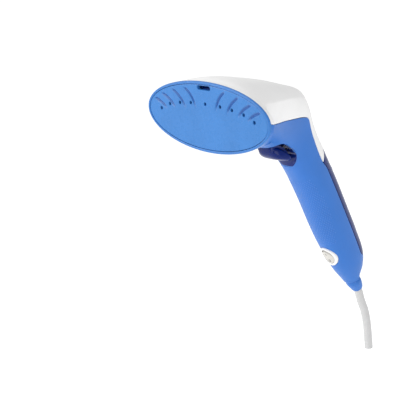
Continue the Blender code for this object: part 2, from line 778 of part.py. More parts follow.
def make_chamber_fittings():
    back = 27.1
    thermostat = ((0, 5), (4.5, 5), (4.5, 3.2), (7, 3.2), (7, 0), (0, 0))
    turned("thermostat", thermostat, "black_plastic", (-22 * MM, back * MM, 0), (0, 1, 0))
    rod("thermal_fuse", (15 * MM, 29.4 * MM, 0), (29 * MM, 29.4 * MM, 0), 2 * MM, "insulator", sides=12)
    nozzle = ((0, 17), (1.5, 17), (1.9, 15.6), (1.5, 15), (1.5, 6.2), (3.4, 6.2), (3.4, 5), (1.8, 5), (1.8, 0), (0, 0))
    turned("inlet_nozzle", nozzle, "brass", (0, 22.2 * MM, NOZZLE_HEIGHT), (0, 1, 0))


def make_heat_shield():
    rings = [oval(34 * MM, 16.5 * MM, y) for y in (SHIELD_Y, SHIELD_Y + 1.2 * MM)]
    shield = loft("heat_shield", rings, "insulator")
    for x in (-ELEMENT_TERMINAL[0], ELEMENT_TERMINAL[0]):
        z = ELEMENT_TERMINAL[1]
        boolean(shield, rod("shield_hole", (x, 30 * MM, z), (x, 40 * MM, z), 3.4 * MM, sides=12))
    hole = rod("shield_nozzle_hole", (0, 30 * MM, NOZZLE_HEIGHT), (0, 40 * MM, NOZZLE_HEIGHT), 3.4 * MM, sides=12)
    return boolean(shield, hole)


def make_head_screws():
    number = 0
    for x in (-CHAMBER_SCREWS[0], CHAMBER_SCREWS[0]):
        for z in (-CHAMBER_SCREWS[1], CHAMBER_SCREWS[1]):
            number += 1
            screw(f"chamber_screw_{number}", (x, 2.5 * MM, z), (0, 1, 0), 6.1, 1.0, 2.0, 1.3)
    for number, (x, z) in enumerate(LID_SCREWS, 1):
        screw(f"lid_screw_{number}", (x * MM, 18 * MM, z * MM), (0, 1, 0), 9.0, 0.75, 1.4, 1.0)
    for name, x in (("cover_screw_left", -24), ("cover_screw_right", 24)):
        screw(name, (x * MM, 42 * MM, 8 * MM), (0, 0, -1), 30.3, 1.35, 2.3, 1.6)


# Trigger.

def make_trigger():
    rings = []
    sides = 16
    for outer, inner, half_width in TRIGGER_SECTIONS:
        outer = Vector((0, *outer)) * MM
        inner = Vector((0, *inner)) * MM
        ring = []
        for i in range(sides):
            a = 2 * math.pi * i / sides
            c, s = math.cos(a), math.sin(a)
            along = math.copysign(abs(c) ** (2 / 3), c)
            side = math.copysign(abs(s) ** (2 / 3), s)
            ring.append((outer + inner) / 2 + (outer - inner) / 2 * along + Vector((half_width * MM * side, 0, 0)))
        rings.append(ring)
    paddle = loft("trigger", rings, "navy_plastic")
    boolean(paddle, prism("trigger_skirt", TRIGGER_SKIRT, 8.4 * MM), "UNION")
    lug = ((57.0, -38), (57.0, -30), (58.5, -28.4), (60.5, -28.4), (62.2, -30), (63.5, -38))
    boolean(paddle, prism("trigger_lug", lug, 6.0 * MM), "UNION")
    boolean(paddle, box("trigger_nub", (-1.6, 76.0, -44.5), (1.6, 79.0, -37.9)), "UNION")
    boolean(paddle, rod("pin_hole", (-12 * MM, *PIVOT), (12 * MM, *PIVOT), PIN_RADIUS + 0.15 * MM, sides=16))
    origin = Vector((0, *PIVOT))
    paddle.data.transform(Matrix.Translation(-origin))
    paddle.matrix_local = Matrix.Translation(origin)
    return paddle


def make_trigger_bracket():
    bracket = box("trigger_bracket", (-12, 53.5, -28.0), (12, 84.0, -26.2), "chassis_grey")
    for side in (-1, 1):
        low, high = sorted((side * 6.4, side * 8.8))
        cheek = box("bracket_cheek", (low, 56.4, -33.0), (high, 62.6, -27.0))
        boolean(bracket, cheek, "UNION")
    boolean(bracket, rod("bracket_hole", (-12 * MM, *PIVOT), (12 * MM, *PIVOT), PIN_RADIUS + 0.1 * MM, sides=16))
    return bracket


def make_trigger_works():
    make_trigger()
    make_trigger_bracket()
    rod("trigger_pin", (-9.2 * MM, *PIVOT), (9.2 * MM, *PIVOT), PIN_RADIUS, "steel", sides=16)
    coil("trigger_spring", (0, 69.5 * MM, -36.2 * MM), 2.3 * MM, 0.35 * MM, 7.5 * MM, 4, points=9)
    switch = box("microswitch", (-3.2, 73.8, -35.7), (3.2, 82.4, -28.4), "black_plastic")
    way = rod("button_way", (0, 77.5 * MM, -40 * MM), (0, 77.5 * MM, -33.6 * MM), 1.3 * MM, sides=12)
    boolean(switch, way)
    rod("microswitch_button", (0, 77.5 * MM, -37.6 * MM), (0, 77.5 * MM, -35.6 * MM), 1.0 * MM, "navy_plastic", sides=12)


# Handle's inside.

def make_chassis():
    rings = []
    for down in (-6, 20, 50, 80, 100, 106):
        width = section_values(handle_section(down * MM))[2] - WALL - 0.6 * MM
        rings.append([
            Vector((x * width, back * MM, -down * MM))
            for x, back in ((-1, 0.3), (1, 0.3), (1, 2.3), (-1, 2.3))
        ])
    chassis = loft("handle_chassis", rings, "chassis_grey", HANDLE)
    for side in (-1, 1):
        for x, down in ((9.5, 4), (9.3, 76)):
            hole = rod(
                "chassis_hole", (side * x * MM, -2 * MM, -down * MM), (side * x * MM, 5 * MM, -down * MM),
                1.4 * MM, parent=HANDLE, sides=10,
            )
            boolean(chassis, hole)
            sink = rod(
                "chassis_sink", (side * x * MM, 1.3 * MM, -down * MM), (side * x * MM, 5 * MM, -down * MM),
                2.5 * MM, parent=HANDLE, sides=12,
            )
            boolean(chassis, sink)
    hole = rod("seal_hole", (0, -2 * MM, -98 * MM), (0, 5 * MM, -98 * MM), 4.4 * MM, parent=HANDLE, sides=20)
    return boolean(chassis, hole)


def make_chassis_screws():
    number = 0
    for side in (-1, 1):
        for x, down in ((9.5, 4), (9.3, 76)):
            number += 1
            tip = (side * x * MM, -8.5 * MM, -down * MM)
            screw(f"chassis_screw_{number}", tip, (0, 1, 0), 10.0, 0.95, 2.1, 0.9, HANDLE)


def make_tank_seal():
    """A lipped ring that the tank's spigot pushes into."""
    profile = ((4.1, 2.7), (4.1, -0.2), (2.7, -0.2), (2.7, 2.7))
    return turned("tank_seal", profile, "silicone", (0, 0, -98 * MM), (0, 1, 0), HANDLE, ring=True)


def make_pump():
    coil_body = box("pump_coil", (-9.5, -10.6, -54), (9.5, -0.6, -30), "pump_iron", HANDLE, bevel=1.0)
    way = rod("pump_way", (0, -5.6 * MM, -60 * MM), (0, -5.6 * MM, -24 * MM), 3.9 * MM, parent=HANDLE, sides=20)
    boolean(coil_body, way)
    profile = (
        (0, 52), (1.3, 52), (1.9, 50.6), (1.3, 49.8), (1.3, 46), (3.6, 46), (3.6, 6), (1.3, 6),
        (1.3, 2.2), (1.9, 1.4), (1.3, 0), (0, 0),
    )
    turned("pump_barrel", profile, "clear_hose", (0, -5.6 * MM, -69 * MM), (0, 0, 1), HANDLE, steps=18)


def make_hoses():
    suction = [(0, -1.0, -98), (0, -2.5, -98), (0, -2.5, -84), (0, -5.6, -76), (0, -5.6, -69.4)]
    path = rounded_path([Vector(p) * MM for p in suction], 1.6 * MM)
    wire("suction_hose", path, 1.9 * MM, "clear_hose", HANDLE)
    start = from_handle(0, -5.6 * MM, 16.6 * MM)
    up = from_handle(0, -5.6 * MM, 6 * MM)
    rest = [(0, 99, -46), (0, 92, -24), (0, 72, -6), (0, 52, 4), (0, 46, 6), (0, 39.6, 6)]
    path = rounded_path([start, up] + [Vector(p) * MM for p in rest], 9 * MM)
    wire("chamber_hose", path, 2.1 * MM, "clear_hose")


def make_electrics():
    box("control_board", (-6.2, -11.4, -82), (6.2, -10.2, -57), "board_green", HANDLE)
    box("relay", (-6, -9.9, -81), (-2.3, -5.6, -73.4), "blue_wire", HANDLE, bevel=0.5)
    rod("capacitor", (4.2 * MM, -6.4 * MM, -76 * MM), (4.2 * MM, -9.9 * MM, -76 * MM), 1.8 * MM, "navy_plastic", HANDLE, sides=12)
    for name, side, colour in (("element_wire_left", -1, "red_wire"), ("element_wire_right", 1, "blue_wire")):
        x = side * 7
        head = [(x, 38.3, -6), (x, 44, -7), (side * 8, 72, -14), (side * 5, 95, -30)]
        points = [Vector(p) * MM for p in head]
        points += [
            from_handle(side * at * MM, -2.4 * MM, down * MM) for at, down in ((4.6, 0), (4.6, 10), (11.5, 24), (11.5, 58))
        ]
        points += [from_handle(side * 5.2 * MM, -9.2 * MM, 62 * MM)]
        wire(name, rounded_path(points, 6 * MM), 0.9 * MM, colour)
    for name, side, colour in (("live_wire", -1, "red_wire"), ("neutral_wire", 1, "blue_wire")):
        points = [(side * 1.6, -2.5, -105.4), (side * 4.2, -2.8, -101), (side * 4.2, -3.2, -90), (side * 4.2, -4.4, -84.5)]
        wire(name, rounded_path([Vector(p) * MM for p in points], 2 * MM), 0.8 * MM, colour, HANDLE)


def make_power_switch():
    outline = (
        (0, 0.3), (0, 0.9), (-0.5, 1.35), (-1.5, 1.45), (-2.3, 0.9), (-2.3, -3.0), (-1.0, -3.0), (-1.0, 0.3),
    )
    rings = [on_surface(SWITCH_HALF, SWITCH_DOWN, d * MM, lift * MM, -1) for d, lift in outline]
    loft("switch_bezel", rings, "switch_white", HANDLE, closed=True)
    front = surface(0, SWITCH_DOWN, -1)
    pivot = Vector((0, front + ROCKER_DEPTH, -SWITCH_DOWN))
    rings = []
    for share in (0.25, 0.6, 0.9, 1.0):
        half = (ROCKER_HALF[0] * share, ROCKER_HALF[1] * share)
        edge = 0.5 * MM if share == 1.0 else 0
        ring = on_surface(half, SWITCH_DOWN, 0, 0, -1, 28)
        for p in ring:
            rise = 0.9 * MM + 0.6 * MM * ((p.z + SWITCH_DOWN) / ROCKER_HALF[1]) ** 2 - edge
            p.y -= rise
        rings.append(ring)
    bottom = front + 3.2 * MM
    for share in (1.0, 0.3):
        half = (ROCKER_HALF[0] * share, ROCKER_HALF[1] * share)
        rings.append([Vector((p.x, bottom, p.z)) for p in on_surface(half, SWITCH_DOWN, 0, 0, -1, 28)])
    rings = [[p - pivot for p in ring] for ring in rings]
    tilt = Matrix.Translation(pivot) @ Matrix.Rotation(ROCKER_TILT, 4, "X")
    loft("power_rocker", rings, "switch_white", HANDLE, tilt)
    down = SWITCH_DOWN / MM
    low = front / MM + 5.0
    box("switch_housing", (-6.2, low, -down - 8.4), (6.2, -5.4, -down + 7.6), "black_plastic", HANDLE, bevel=0.6)


def make_cord_end():
    end = HANDLE_END / MM
    boot = (
        (6.2, -6.2), (6.2, -3.6), (5.4, -3.2), (5.4, 0.3), (8.1, 0.3), (7.9, 2.0), (6.9, 6.0),
        (5.9, 10.0), (5.2, 13.0), (4.7, 14.0), (4.1, 14.2), (4.1, -6.2),
    )
    turned(
        "strain_relief", [(r, d) for r, d in reversed(boot)], "blue_plastic",
        (0, CORD_OFFSET, -HANDLE_END), (0, 0, -1), HANDLE, ring=True, steps=24,
    )
    straight = [from_handle(0, CORD_OFFSET, d * MM) for d in (106.5, end, end + 14.6)]
    tail = [Vector((0, y * MM, z * MM)) for y, z in CORD_TAIL]
    wire("power_cord", rounded_path(straight + tail, 6 * MM, 2), CORD_RADIUS, "cord_white")
    clamp = box("cord_clamp", (-8.6, 1.7, -118), (8.6, 4.1, -112), "chassis_grey", HANDLE)
    for side, name in ((-1, "left"), (1, "right")):
        hole = rod(
            "clamp_hole", (side * 6.4 * MM, 0, -115 * MM), (side * 6.4 * MM, 6 * MM, -115 * MM),
            1.3 * MM, parent=HANDLE, sides=10,
        )
        boolean(clamp, hole)
        screw(f"clamp_screw_{name}", (side * 6.4 * MM, -6 * MM, -115 * MM), (0, 1, 0), 10.3, 0.9, 1.9, 1.2, HANDLE)


def main():
    make_head_cover()
    make_body_shell()
    make_water_tank()
    make_filler_cap()
    make_plate_frame()
    make_steam_plate()
    make_brush_socket()
    make_chamber_gasket()
    make_steam_chamber()
    make_chamber_lid()
    make_heating_element()
    make_chamber_fittings()
    make_heat_shield()
    make_head_screws()
    make_trigger_works()
    make_chassis()
    make_chassis_screws()
    make_tank_seal()
    make_pump()
    make_hoses()
    make_electrics()
    make_power_switch()
    make_cord_end()


main()
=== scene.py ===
"""Looks of the handheld garment steamer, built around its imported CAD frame.

The outer skins are drawn again from the same driving sections as the CAD
shells, finer, with rolled rims, a creased head, a grooved steam plate and a
dotted grip. Shapes are drawn in the plate's own frame, whose origin is the
middle of the plate's front rim, or in the handle's frame, and then moved to
the CAD frame. Lengths are in metres; MM turns millimetres into them.
"""

import json
import math

import bmesh
import bpy
import numpy as np
from mathutils import Matrix, Vector


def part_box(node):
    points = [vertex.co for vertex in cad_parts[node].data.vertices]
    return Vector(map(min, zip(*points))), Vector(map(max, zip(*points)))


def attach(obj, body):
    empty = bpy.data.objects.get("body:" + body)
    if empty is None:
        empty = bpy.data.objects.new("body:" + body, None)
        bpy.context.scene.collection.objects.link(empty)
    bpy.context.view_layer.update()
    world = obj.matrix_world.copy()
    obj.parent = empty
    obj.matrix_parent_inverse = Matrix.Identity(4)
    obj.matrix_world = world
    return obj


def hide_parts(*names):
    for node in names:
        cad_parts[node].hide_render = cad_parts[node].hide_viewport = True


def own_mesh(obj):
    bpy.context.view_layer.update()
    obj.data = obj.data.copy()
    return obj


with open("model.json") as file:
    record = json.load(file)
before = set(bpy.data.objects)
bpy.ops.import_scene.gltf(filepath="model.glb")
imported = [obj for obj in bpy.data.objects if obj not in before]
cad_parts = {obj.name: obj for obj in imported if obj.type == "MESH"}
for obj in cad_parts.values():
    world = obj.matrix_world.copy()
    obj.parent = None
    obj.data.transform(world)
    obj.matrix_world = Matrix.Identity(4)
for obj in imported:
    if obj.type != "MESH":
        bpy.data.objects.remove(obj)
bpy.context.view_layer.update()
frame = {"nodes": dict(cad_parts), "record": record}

MM = 0.001
ROOT = "steamer_body"

# Where the plate's frame lies in the CAD frame.
PLATE_LOW, PLATE_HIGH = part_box("plate_frame")
HOME = Vector((0, PLATE_LOW.y, (PLATE_LOW.z + PLATE_HIGH.z) / 2))

# Driving dimensions, the CAD's or close to them. Tuples of points are in mm, in the plate's frame.
PLATE_HALF_WIDTH = 72 * MM
PLATE_HALF_HEIGHT = 28.3 * MM
PLATE_EGG = 0.03
WALL = 2.2 * MM
GAP = 0.3 * MM
SEAM = 0.5 * MM
COLLAR_FRONT = 1.8  # in mm behind the rim's front
COLLAR_WALL = 0.9 * MM
# Each section: back or top point, front or underside point, half width, roundness.
SECTIONS = (
    ((4.8, 28.1), (4.8, -28.1), 71.5, 2.0),
    ((12, 29.2), (12, -28.3), 59.5, 2.1),
    ((23, 28.2), (22, -29.3), 48.5, 2.25),
    ((40, 24.4), (34, -31.0), 38.5, 2.5),
    ((59, 19.4), (46, -33.4), 31.0, 2.6),
    ((78, 12.8), (58, -37.3), 25.0, 2.6),
    ((95.5, 5.8), (69, -43.0), 21.0, 2.7),
    ((103.8, -6), (77, -49.5), 19.0, 2.6),
    ((110.0, -25), (84, -58.5), 18.0, 2.4),
    ((121.8, -50), (93, -74.5), 17.3, 2.3),
    ((136.1, -79.4), (103.8, -97.5), 16.8, 2.3),
    ((149, -108.5), (115, -124.0), 16.3, 2.3),
    ((159.3, -131.5), (126, -147.0), 15.5, 2.25),
    ((168.8, -156.5), (138, -168.3), 13.6, 2.15),
    ((167.6, -178.6), (151.2, -185.4), 8.5, 2.0),
)
LAST = len(SECTIONS) - 1
# The seam between the cover and the blue body: section, height in that section from -1 to 1.
COVER_SEAM = (
    (0, 0.08), (1, -0.06), (2, -0.18), (3, -0.21), (3.8, -0.18), (4.9, -0.05), (5.7, 0.08),
    (6.4, 0.25), (6.9, 0.40), (7.1, 0.40), (7.35, 0.34), (8.1, 0.30), (8.5, 0.25), (9.0, 0.23),
)
SPINE_START = 8.4
SPINE_END = 9.05
SPINE_ARCH = 0.38
SPINE_GAP = 0.012  # in sections, on each side of the joint between the spine and the tank
TANK_FACE = 6.8 * MM
TANK_TURN = 12.75
TANK_END = 13.2
TANK_WALL = 1.8 * MM
SPIGOT_DOWN = 98 * MM
CAP_DOWN = 18 * MM
HANDLE_SECTION = 9
HANDLE_LEAN = math.radians(24.7)
HANDLE_END = 130.9 * MM
CORD_OFFSET = -2.5 * MM
LIP = 2.4 * MM
PLATE_RECESS = 0.4 * MM
PLATE_DISH = 0.6 * MM
PLATE_BACK = 3.4 * MM
STEAM_HOLES = ((0, 10.5), (17.3, 10.1), (30.6, 8.9), (43.5, 6.6), (54.7, 2.1))
SLOT_HEIGHT = 23.2 * MM
SLOT_HALF_LENGTH = 7.6 * MM
SLOT_RADIUS = 1.6 * MM
# Each section of the trigger: outer point, inner point, half width.
TRIGGER_SECTIONS = (
    ((60.2, -38.6), (61.6, -36.0), 6.2),
    ((61.2, -43.8), (65.2, -36.4), 9.6),
    ((64.4, -47.6), (70.2, -38.4), 12.2),
    ((69.2, -49.6), (74.6, -42.2), 13.6),
    ((74.4, -50.8), (78.0, -45.8), 13.8),
    ((78.4, -51.8), (80.2, -49.4), 10.8),
    ((80.2, -52.8), (81.0, -51.6), 6.5),
)
TRIGGER_SKIRT = (
    (61, -41), (61, -34.4), (68, -35.9), (74.5, -39.8), (79.3, -45.4),
    (81.2, -50.2), (79.4, -50.8), (72, -46),
)
TRIGGER_LUG = (
    (57.0, -35), (57.0, -30), (58.5, -28.4), (60.5, -28.4), (62.2, -30), (63.5, -38), (60.3, -38),
)
TRIGGER_POCKET = (
    (54.3, -44), (54.3, -37), (56.4, -33.8), (61.5, -32.2), (67.5, -33.4),
    (73.5, -37.4), (79.2, -41.4), (82.6, -46.9), (83.4, -52.4), (84.2, -58.6),
    (82, -70), (60, -66),
)
PIVOT = (59.5 * MM, -30.8 * MM)
SPRING_FOOT = Vector((0, 69.5, -36.2)) * MM
SPRING_LENGTH = 7.5 * MM
SPRING_RADIUS = 2.3 * MM
SPRING_WIRE = 0.35 * MM
SPRING_TURNS = 4
SCREW_AT = (24 * MM, 42 * MM)  # a cover screw's distance from the middle, and behind the rim
SWITCH_DOWN = 91.8 * MM
SWITCH_HALF = (8.7 * MM, 10.5 * MM)
ROCKER_HALF = (6.2 * MM, 7.5 * MM)
ROCKER_DEPTH = 4.0 * MM
ROCKER_TILT = math.radians(6)
CORD_RADIUS = 3.8 * MM
CORD_TAIL = (
    (169.8, -208.6), (174.0, -220.0), (176.3, -231.0), (177.3, -241.5),
    (177.8, -252.0), (178.0, -259.5),
)

# The crease along each side of the head: section, height in that section,
# and how strongly the ridge stands out there.
CREASE = (
    (0.8, 0.42, 0.0), (1.8, 0.41, 0.8), (2.9, 0.40, 1.0), (3.9, 0.46, 1.0), (4.8, 0.58, 1.0),
    (5.5, 0.67, 0.7), (6.2, 0.74, 0.0),
)
CREASE_HEIGHT = 1.2 * MM
CREASE_REACH = 4.5 * MM

# Grooves of the steam plate: outer end, middle and inner end (x, z) in mm.
GROOVES = (
    ((24, 22), (15, 17.5), (11.5, 6)),
    ((39.2, 19.5), (29, 14.5), (24, 5)),
    ((52.7, 15), (43, 11.8), (36.5, 4)),
    ((62, 10), (54, 8.2), (47.5, 2.5)),
)
GROOVE_DEPTH = 1.0 * MM
GROOVE_HALF_WIDTH = 1.45 * MM

SHELL_COLUMNS = 120  # faces across the cover, and round the body
NOTCH = 3.8 * MM  # how far the blue shell's back end curls in above the boot
LINER = 1.0  # in mm, the dark wall round the trigger's pocket
LINER_GAP = 0.06  # in mm, how far that wall stays outside the pocket
LINED = range(2, 10)  # the pocket's corners that the wall follows
BARED = {7: 0.4, 8: 1.12, 9: 1.12}  # in mm, where the blue shell leaves the wall's edge bare

DOT_PITCH = 2.3 * MM
DOT_PROFILE = ((0.62, -0.05), (0.5, 0.1), (0.26, 0.17))  # radius and lift in mm
GRIP_TOP = 2 * MM
GRIP_END = 78 * MM
MARK_LIFT = 0.02 * MM

EYE = Vector((0.6248, -0.6492, 0.2782))
AIM = Vector((0.0087, -0.1353, 0.0295))
ROLL = math.radians(-4.84)
LENS = 91.89
FLOOR_HEIGHT = -0.45
FLOOR_HALF = 15.0


# Shapes of the skin.

def spline(a, b, c, d, f):
    """The Catmull-Rom curve between b and c."""
    return 0.5 * (2 * b + (c - a) * f + (2 * a - 5 * b + 4 * c - d) * f**2 + (3 * b - 3 * c + d - a) * f**3)


def padded(rows):
    """The rows with one more at each end, carried straight on."""
    return [2 * rows[0] - rows[1]] + rows + [2 * rows[-1] - rows[-2]]


def section_values(t):
    """A curve through SECTIONS: back or top point, front or underside point, half width, roundness.

    From -1 to 0 the skin is a straight collar behind the plate's rim.
    """
    if t < 0:
        back, height, width = SECTIONS[0][0][0], SECTIONS[0][0][1], SECTIONS[0][2]
        y = (back + (back - COLLAR_FRONT) * t) * MM
        return Vector((0, y, height * MM)), Vector((0, y, -height * MM)), width * MM, 2.0
    t = min(t, LAST - 1e-9)
    first = int(t)
    f = t - first
    rows = padded([np.array((*s[0], *s[1], s[2], s[3])) for s in SECTIONS])
    v = spline(*rows[first : first + 4], f)
    top = Vector((0, v[0] * MM, v[1] * MM))
    front = Vector((0, v[2] * MM, v[3] * MM))
    return top, front, v[4] * MM, v[5]


def skin_point(t, angle, inset=0.0):
    """A point of the skin in section t, at an angle from the top or back towards +X."""
    top, front, width, roundness = section_values(t)
    centre = (top + front) / 2
    depth = (top - front).length / 2 - inset
    unit = (top - front).normalized()
    c, s = math.cos(angle), math.sin(angle)
    along = math.copysign(abs(c) ** (2 / roundness), c)
    side = math.copysign(abs(s) ** (2 / roundness), s)
    egg = PLATE_EGG * min(1.0, max(0.0, 1 - t / 4))
    return centre + unit * depth * along + Vector(((width - inset) * side * (1 + egg * along), 0, 0))


def angle_at(t, height):
    """The angle in section t of a point at this height, from -1 to 1."""
    roundness = section_values(t)[3]
    height = max(-1.0, min(1.0, height))
    return math.acos(math.copysign(abs(height) ** (roundness / 2), height))


def section_depth(t):
    top, front, _, _ = section_values(t)
    return (top - front).length / 2


def skin_normal(t, angle):
    """The skin's outward direction, from its two tangents."""
    step = 0.02
    along = skin_point(min(t + step, LAST), angle) - skin_point(max(t - step, -1), angle)
    around = skin_point(t, angle + step) - skin_point(t, angle - step)
    top, front, _, _ = section_values(t)
    normal = along.cross(around).normalized()
    outward = skin_point(t, angle) - (top + front) / 2
    return normal if normal.dot(outward) > 0 else -normal


TOP_9, FRONT_9, _, _ = section_values(HANDLE_SECTION)
HANDLE_ORIGIN = (TOP_9 + FRONT_9) / 2
HANDLE_FRAME = Matrix.Translation(HANDLE_ORIGIN) @ Matrix.Rotation(HANDLE_LEAN, 4, "X")
PLATE = Matrix.Translation(HOME)
HANDLE = PLATE @ HANDLE_FRAME


def from_handle(x, back, down):
    """A point of the handle's frame in the plate's frame."""
    return HANDLE_FRAME @ Vector((x, back, -down))


def to_handle(point):
    return HANDLE_FRAME.inverted() @ point


HANDLE_STEPS = [i / 40 for i in range(40 * 8, 40 * LAST + 1)]
HANDLE_MIDDLES = [to_handle((section_values(t)[0] + section_values(t)[1]) / 2) for t in HANDLE_STEPS]
HANDLE_DOWNS = [-m.z for m in HANDLE_MIDDLES]


def handle_section(down):
    return float(np.interp(down, HANDLE_DOWNS, HANDLE_STEPS))


def surface(x, down, side):
    """How far back the skin lies at x, this far down the handle; side is -1 in front, 1 behind."""
    t = handle_section(down)
    top, front, width, roundness = section_values(t)
    middle = to_handle((top + front) / 2).y
    depth = (top - front).length / 2
    return middle + side * depth * max(0.0, 1 - abs(x / width) ** roundness) ** (1 / roundness)


def on_surface(half, centre_down, grow, lift, side, segments=96):
    """An oval ring that follows the handle's surface, lifted off it, in the handle's frame."""
    ring = []
    for i in range(segments):
        a = 2 * math.pi * i / segments
        x = (half[0] + grow) * math.cos(a)
        down = centre_down + (half[1] + grow) * math.sin(a)
        ring.append(Vector((x, surface(x, down, side) + side * lift, -down)))
    return ring


def cover_height(t):
    return float(np.interp(t, [s[0] for s in COVER_SEAM], [s[1] for s in COVER_SEAM]))


def tank_height(t):
    """The height in section t of the edge between the tank and the blue body."""
    top, front, _, _ = section_values(t)
    middle = to_handle((top + front) / 2).y
    height = (TANK_FACE - middle) / section_depth(t)
    turn = max(0.0, (t - TANK_TURN) / (TANK_END - TANK_TURN))
    return min(1.0, height + (1 - height) * turn**2)


def eased(low, high, value):
    f = max(0.0, min(1.0, (value - low) / (high - low)))
    return f * f * (3 - 2 * f)


def seam_height(t):
    """The height of the blue body's edge: under the cover's seam, then along the tank."""
    share = eased(8.9, 9.35, t)
    smooth = sum(cover_height(t + d) for d in (-0.16, -0.08, 0, 0.08, 0.16)) / 5
    return smooth * (1 - share) + (tank_height(t) if share else 0) * share


def spine_edge(angle):
    return SPINE_END - SPINE_ARCH * max(0.0, math.cos(angle)) ** 2


# Meshes.

def new_object(name, points, faces, matrix=PLATE):
    mesh = bpy.data.meshes.new(name)
    mesh.from_pydata([tuple(matrix @ Vector(p)) for p in points], [], faces)
    obj = bpy.data.objects.new(name, mesh)
    bpy.context.scene.collection.objects.link(obj)
    tidy_normals(obj)
    return obj


def tidy_normals(obj):
    bm = bmesh.new()
    bm.from_mesh(obj.data)
    bmesh.ops.recalc_face_normals(bm, faces=bm.faces)
    bm.to_mesh(obj.data)
    bm.free()


def loft(name, rings, matrix=PLATE, closed=False):
    """A solid through rings of equal point counts; closed joins the last ring to the first."""
    count = len(rings[0])
    points = [p for ring in rings for p in ring]
    pairs = [(k, k + 1) for k in range(len(rings) - 1)]
    if closed:
        pairs.append((len(rings) - 1, 0))
    faces = [
        (a * count + i, a * count + (i + 1) % count, b * count + (i + 1) % count, b * count + i)
        for a, b in pairs
        for i in range(count)
    ]
    if not closed:
        faces.append(tuple(range(count)))
        faces.append(tuple((len(rings) - 1) * count + i for i in range(count)))
    return new_object(name, points, faces, matrix)


def turned(name, profile, start, direction, matrix, steps):
    """A profile of (radius, distance) turned about the line from start along direction."""
    turn = Matrix.Translation(start) @ Vector(direction).to_track_quat("Z", "Y").to_matrix().to_4x4()
    rings = []
    for r, z in profile:
        rings.append([
            Vector((r * math.cos(2 * math.pi * i / steps), r * math.sin(2 * math.pi * i / steps), z))
            for i in range(steps)
        ])
    return loft(name, rings, matrix @ turn)


def rod(name, start, end, radius, matrix=PLATE, steps=32):
    start, end = Vector(start), Vector(end)
    profile = ((radius, 0), (radius, (end - start).length))
    return turned(name, profile, start, end - start, matrix, steps)


def upright_rod(name, x, y, low, high, radius):
    """A rod along Z between two heights in mm, with its radius in mm too."""
    return rod(name, (x, y, low * MM), (x, y, high * MM), radius * MM)


def cross_rod(name, down, near, far, radius, steps=32):
    """A rod from front to back of the handle, between two depths in mm, with its radius in mm too."""
    return rod(name, (0, near * MM, -down), (0, far * MM, -down), radius * MM, HANDLE, steps)


def prism(name, outline, half_width, matrix=PLATE):
    """An outline in the (y, z) plane, in metres, drawn out both ways along X."""
    rings = [[Vector((x, y, z)) for y, z in outline] for x in (-half_width, half_width)]
    return loft(name, rings, matrix)


def prism_mm(name, outline, half_width):
    """The same, with the outline and the half width in mm."""
    return prism(name, [(y * MM, z * MM) for y, z in outline], half_width * MM)


def tube(name, path, radius, matrix=PLATE, closed=False, sides=16):
    """A round tube along a path of points."""
    path = [Vector(p) for p in path]
    count = len(path)
    rings = []
    side = None
    for k, point in enumerate(path):
        before = path[k - 1] if k or closed else point
        after = path[(k + 1) % count] if k < count - 1 or closed else point
        along = (after - before).normalized()
        if side is None:
            side = along.orthogonal().normalized()
        side = (side - along * side.dot(along)).normalized()
        other = along.cross(side)
        turns = [2 * math.pi * i / sides for i in range(sides)]
        rings.append([point + radius * (side * math.cos(a) + other * math.sin(a)) for a in turns])
    return loft(name, rings, matrix, closed=closed)


def rounded(points, per):
    """A smooth curve through points of any size, with this many steps between two of them."""
    rows = padded([np.array(p, float) for p in points])
    out = []
    for k in range(len(points) - 1):
        out += [spline(*rows[k : k + 4], i / per) for i in range(per)]
    out.append(rows[-2])
    return out


def cornered(points, radius, steps=6):
    """The closed outline's points in mm, each corner turned into an arc, in metres."""
    points = [Vector((y, z)) * MM for y, z in points]
    path = []
    for k, corner in enumerate(points):
        before, after = points[k - 1], points[(k + 1) % len(points)]
        a = (before - corner).normalized()
        b = (after - corner).normalized()
        reach = min(radius, (before - corner).length / 2.2, (after - corner).length / 2.2)
        for i in range(steps + 1):
            f = i / steps
            path.append(tuple(corner + a * reach * (1 - f) ** 2 + b * reach * f**2))
    return path


def wall_at(t):
    """The casing's wall in section t, thin in the collar that the rim sits in."""
    return COLLAR_WALL + (WALL - COLLAR_WALL) * eased(0, 1.2, t)


def round_edges(obj, width, degrees):
    edge = obj.modifiers.new("edges", "BEVEL")
    edge.width = width
    edge.segments = 2
    edge.limit_method = "ANGLE"
    edge.angle_limit = math.radians(degrees)


def shell(name, outer, inner):
    """A wall between two open grids of points, with rolled edges.

    Where a row's two ends meet, the wall is a closed tube and has no side edges.
    """
    bm = bmesh.new()
    out, inn = ([[bm.verts.new(PLATE @ p) for p in row] for row in rows] for rows in (outer, inner))
    last = len(out[0]) - 1

    def is_open(k):
        return (out[k][0].co - out[k][last].co).length > 0.05 * MM

    for k in range(len(out) - 1):
        for i in range(last):
            bm.faces.new((out[k][i], out[k][i + 1], out[k + 1][i + 1], out[k + 1][i]))
            bm.faces.new((inn[k][i], inn[k + 1][i], inn[k + 1][i + 1], inn[k][i + 1]))
        if is_open(k) or is_open(k + 1):
            for i in (0, last):
                bm.faces.new((out[k][i], out[k + 1][i], inn[k + 1][i], inn[k][i]))
    for k in (0, len(out) - 1):
        for i in range(last):
            bm.faces.new((out[k][i], out[k][i + 1], inn[k][i + 1], inn[k][i]))
    bmesh.ops.remove_doubles(bm, verts=bm.verts, dist=0.01 * MM)
    bmesh.ops.recalc_face_normals(bm, faces=bm.faces)
    mesh = bpy.data.meshes.new(name)
    bm.to_mesh(mesh)
    bm.free()
    obj = bpy.data.objects.new(name, mesh)
    bpy.context.scene.collection.objects.link(obj)
    round_edges(obj, 0.3 * MM, 50)
    return obj


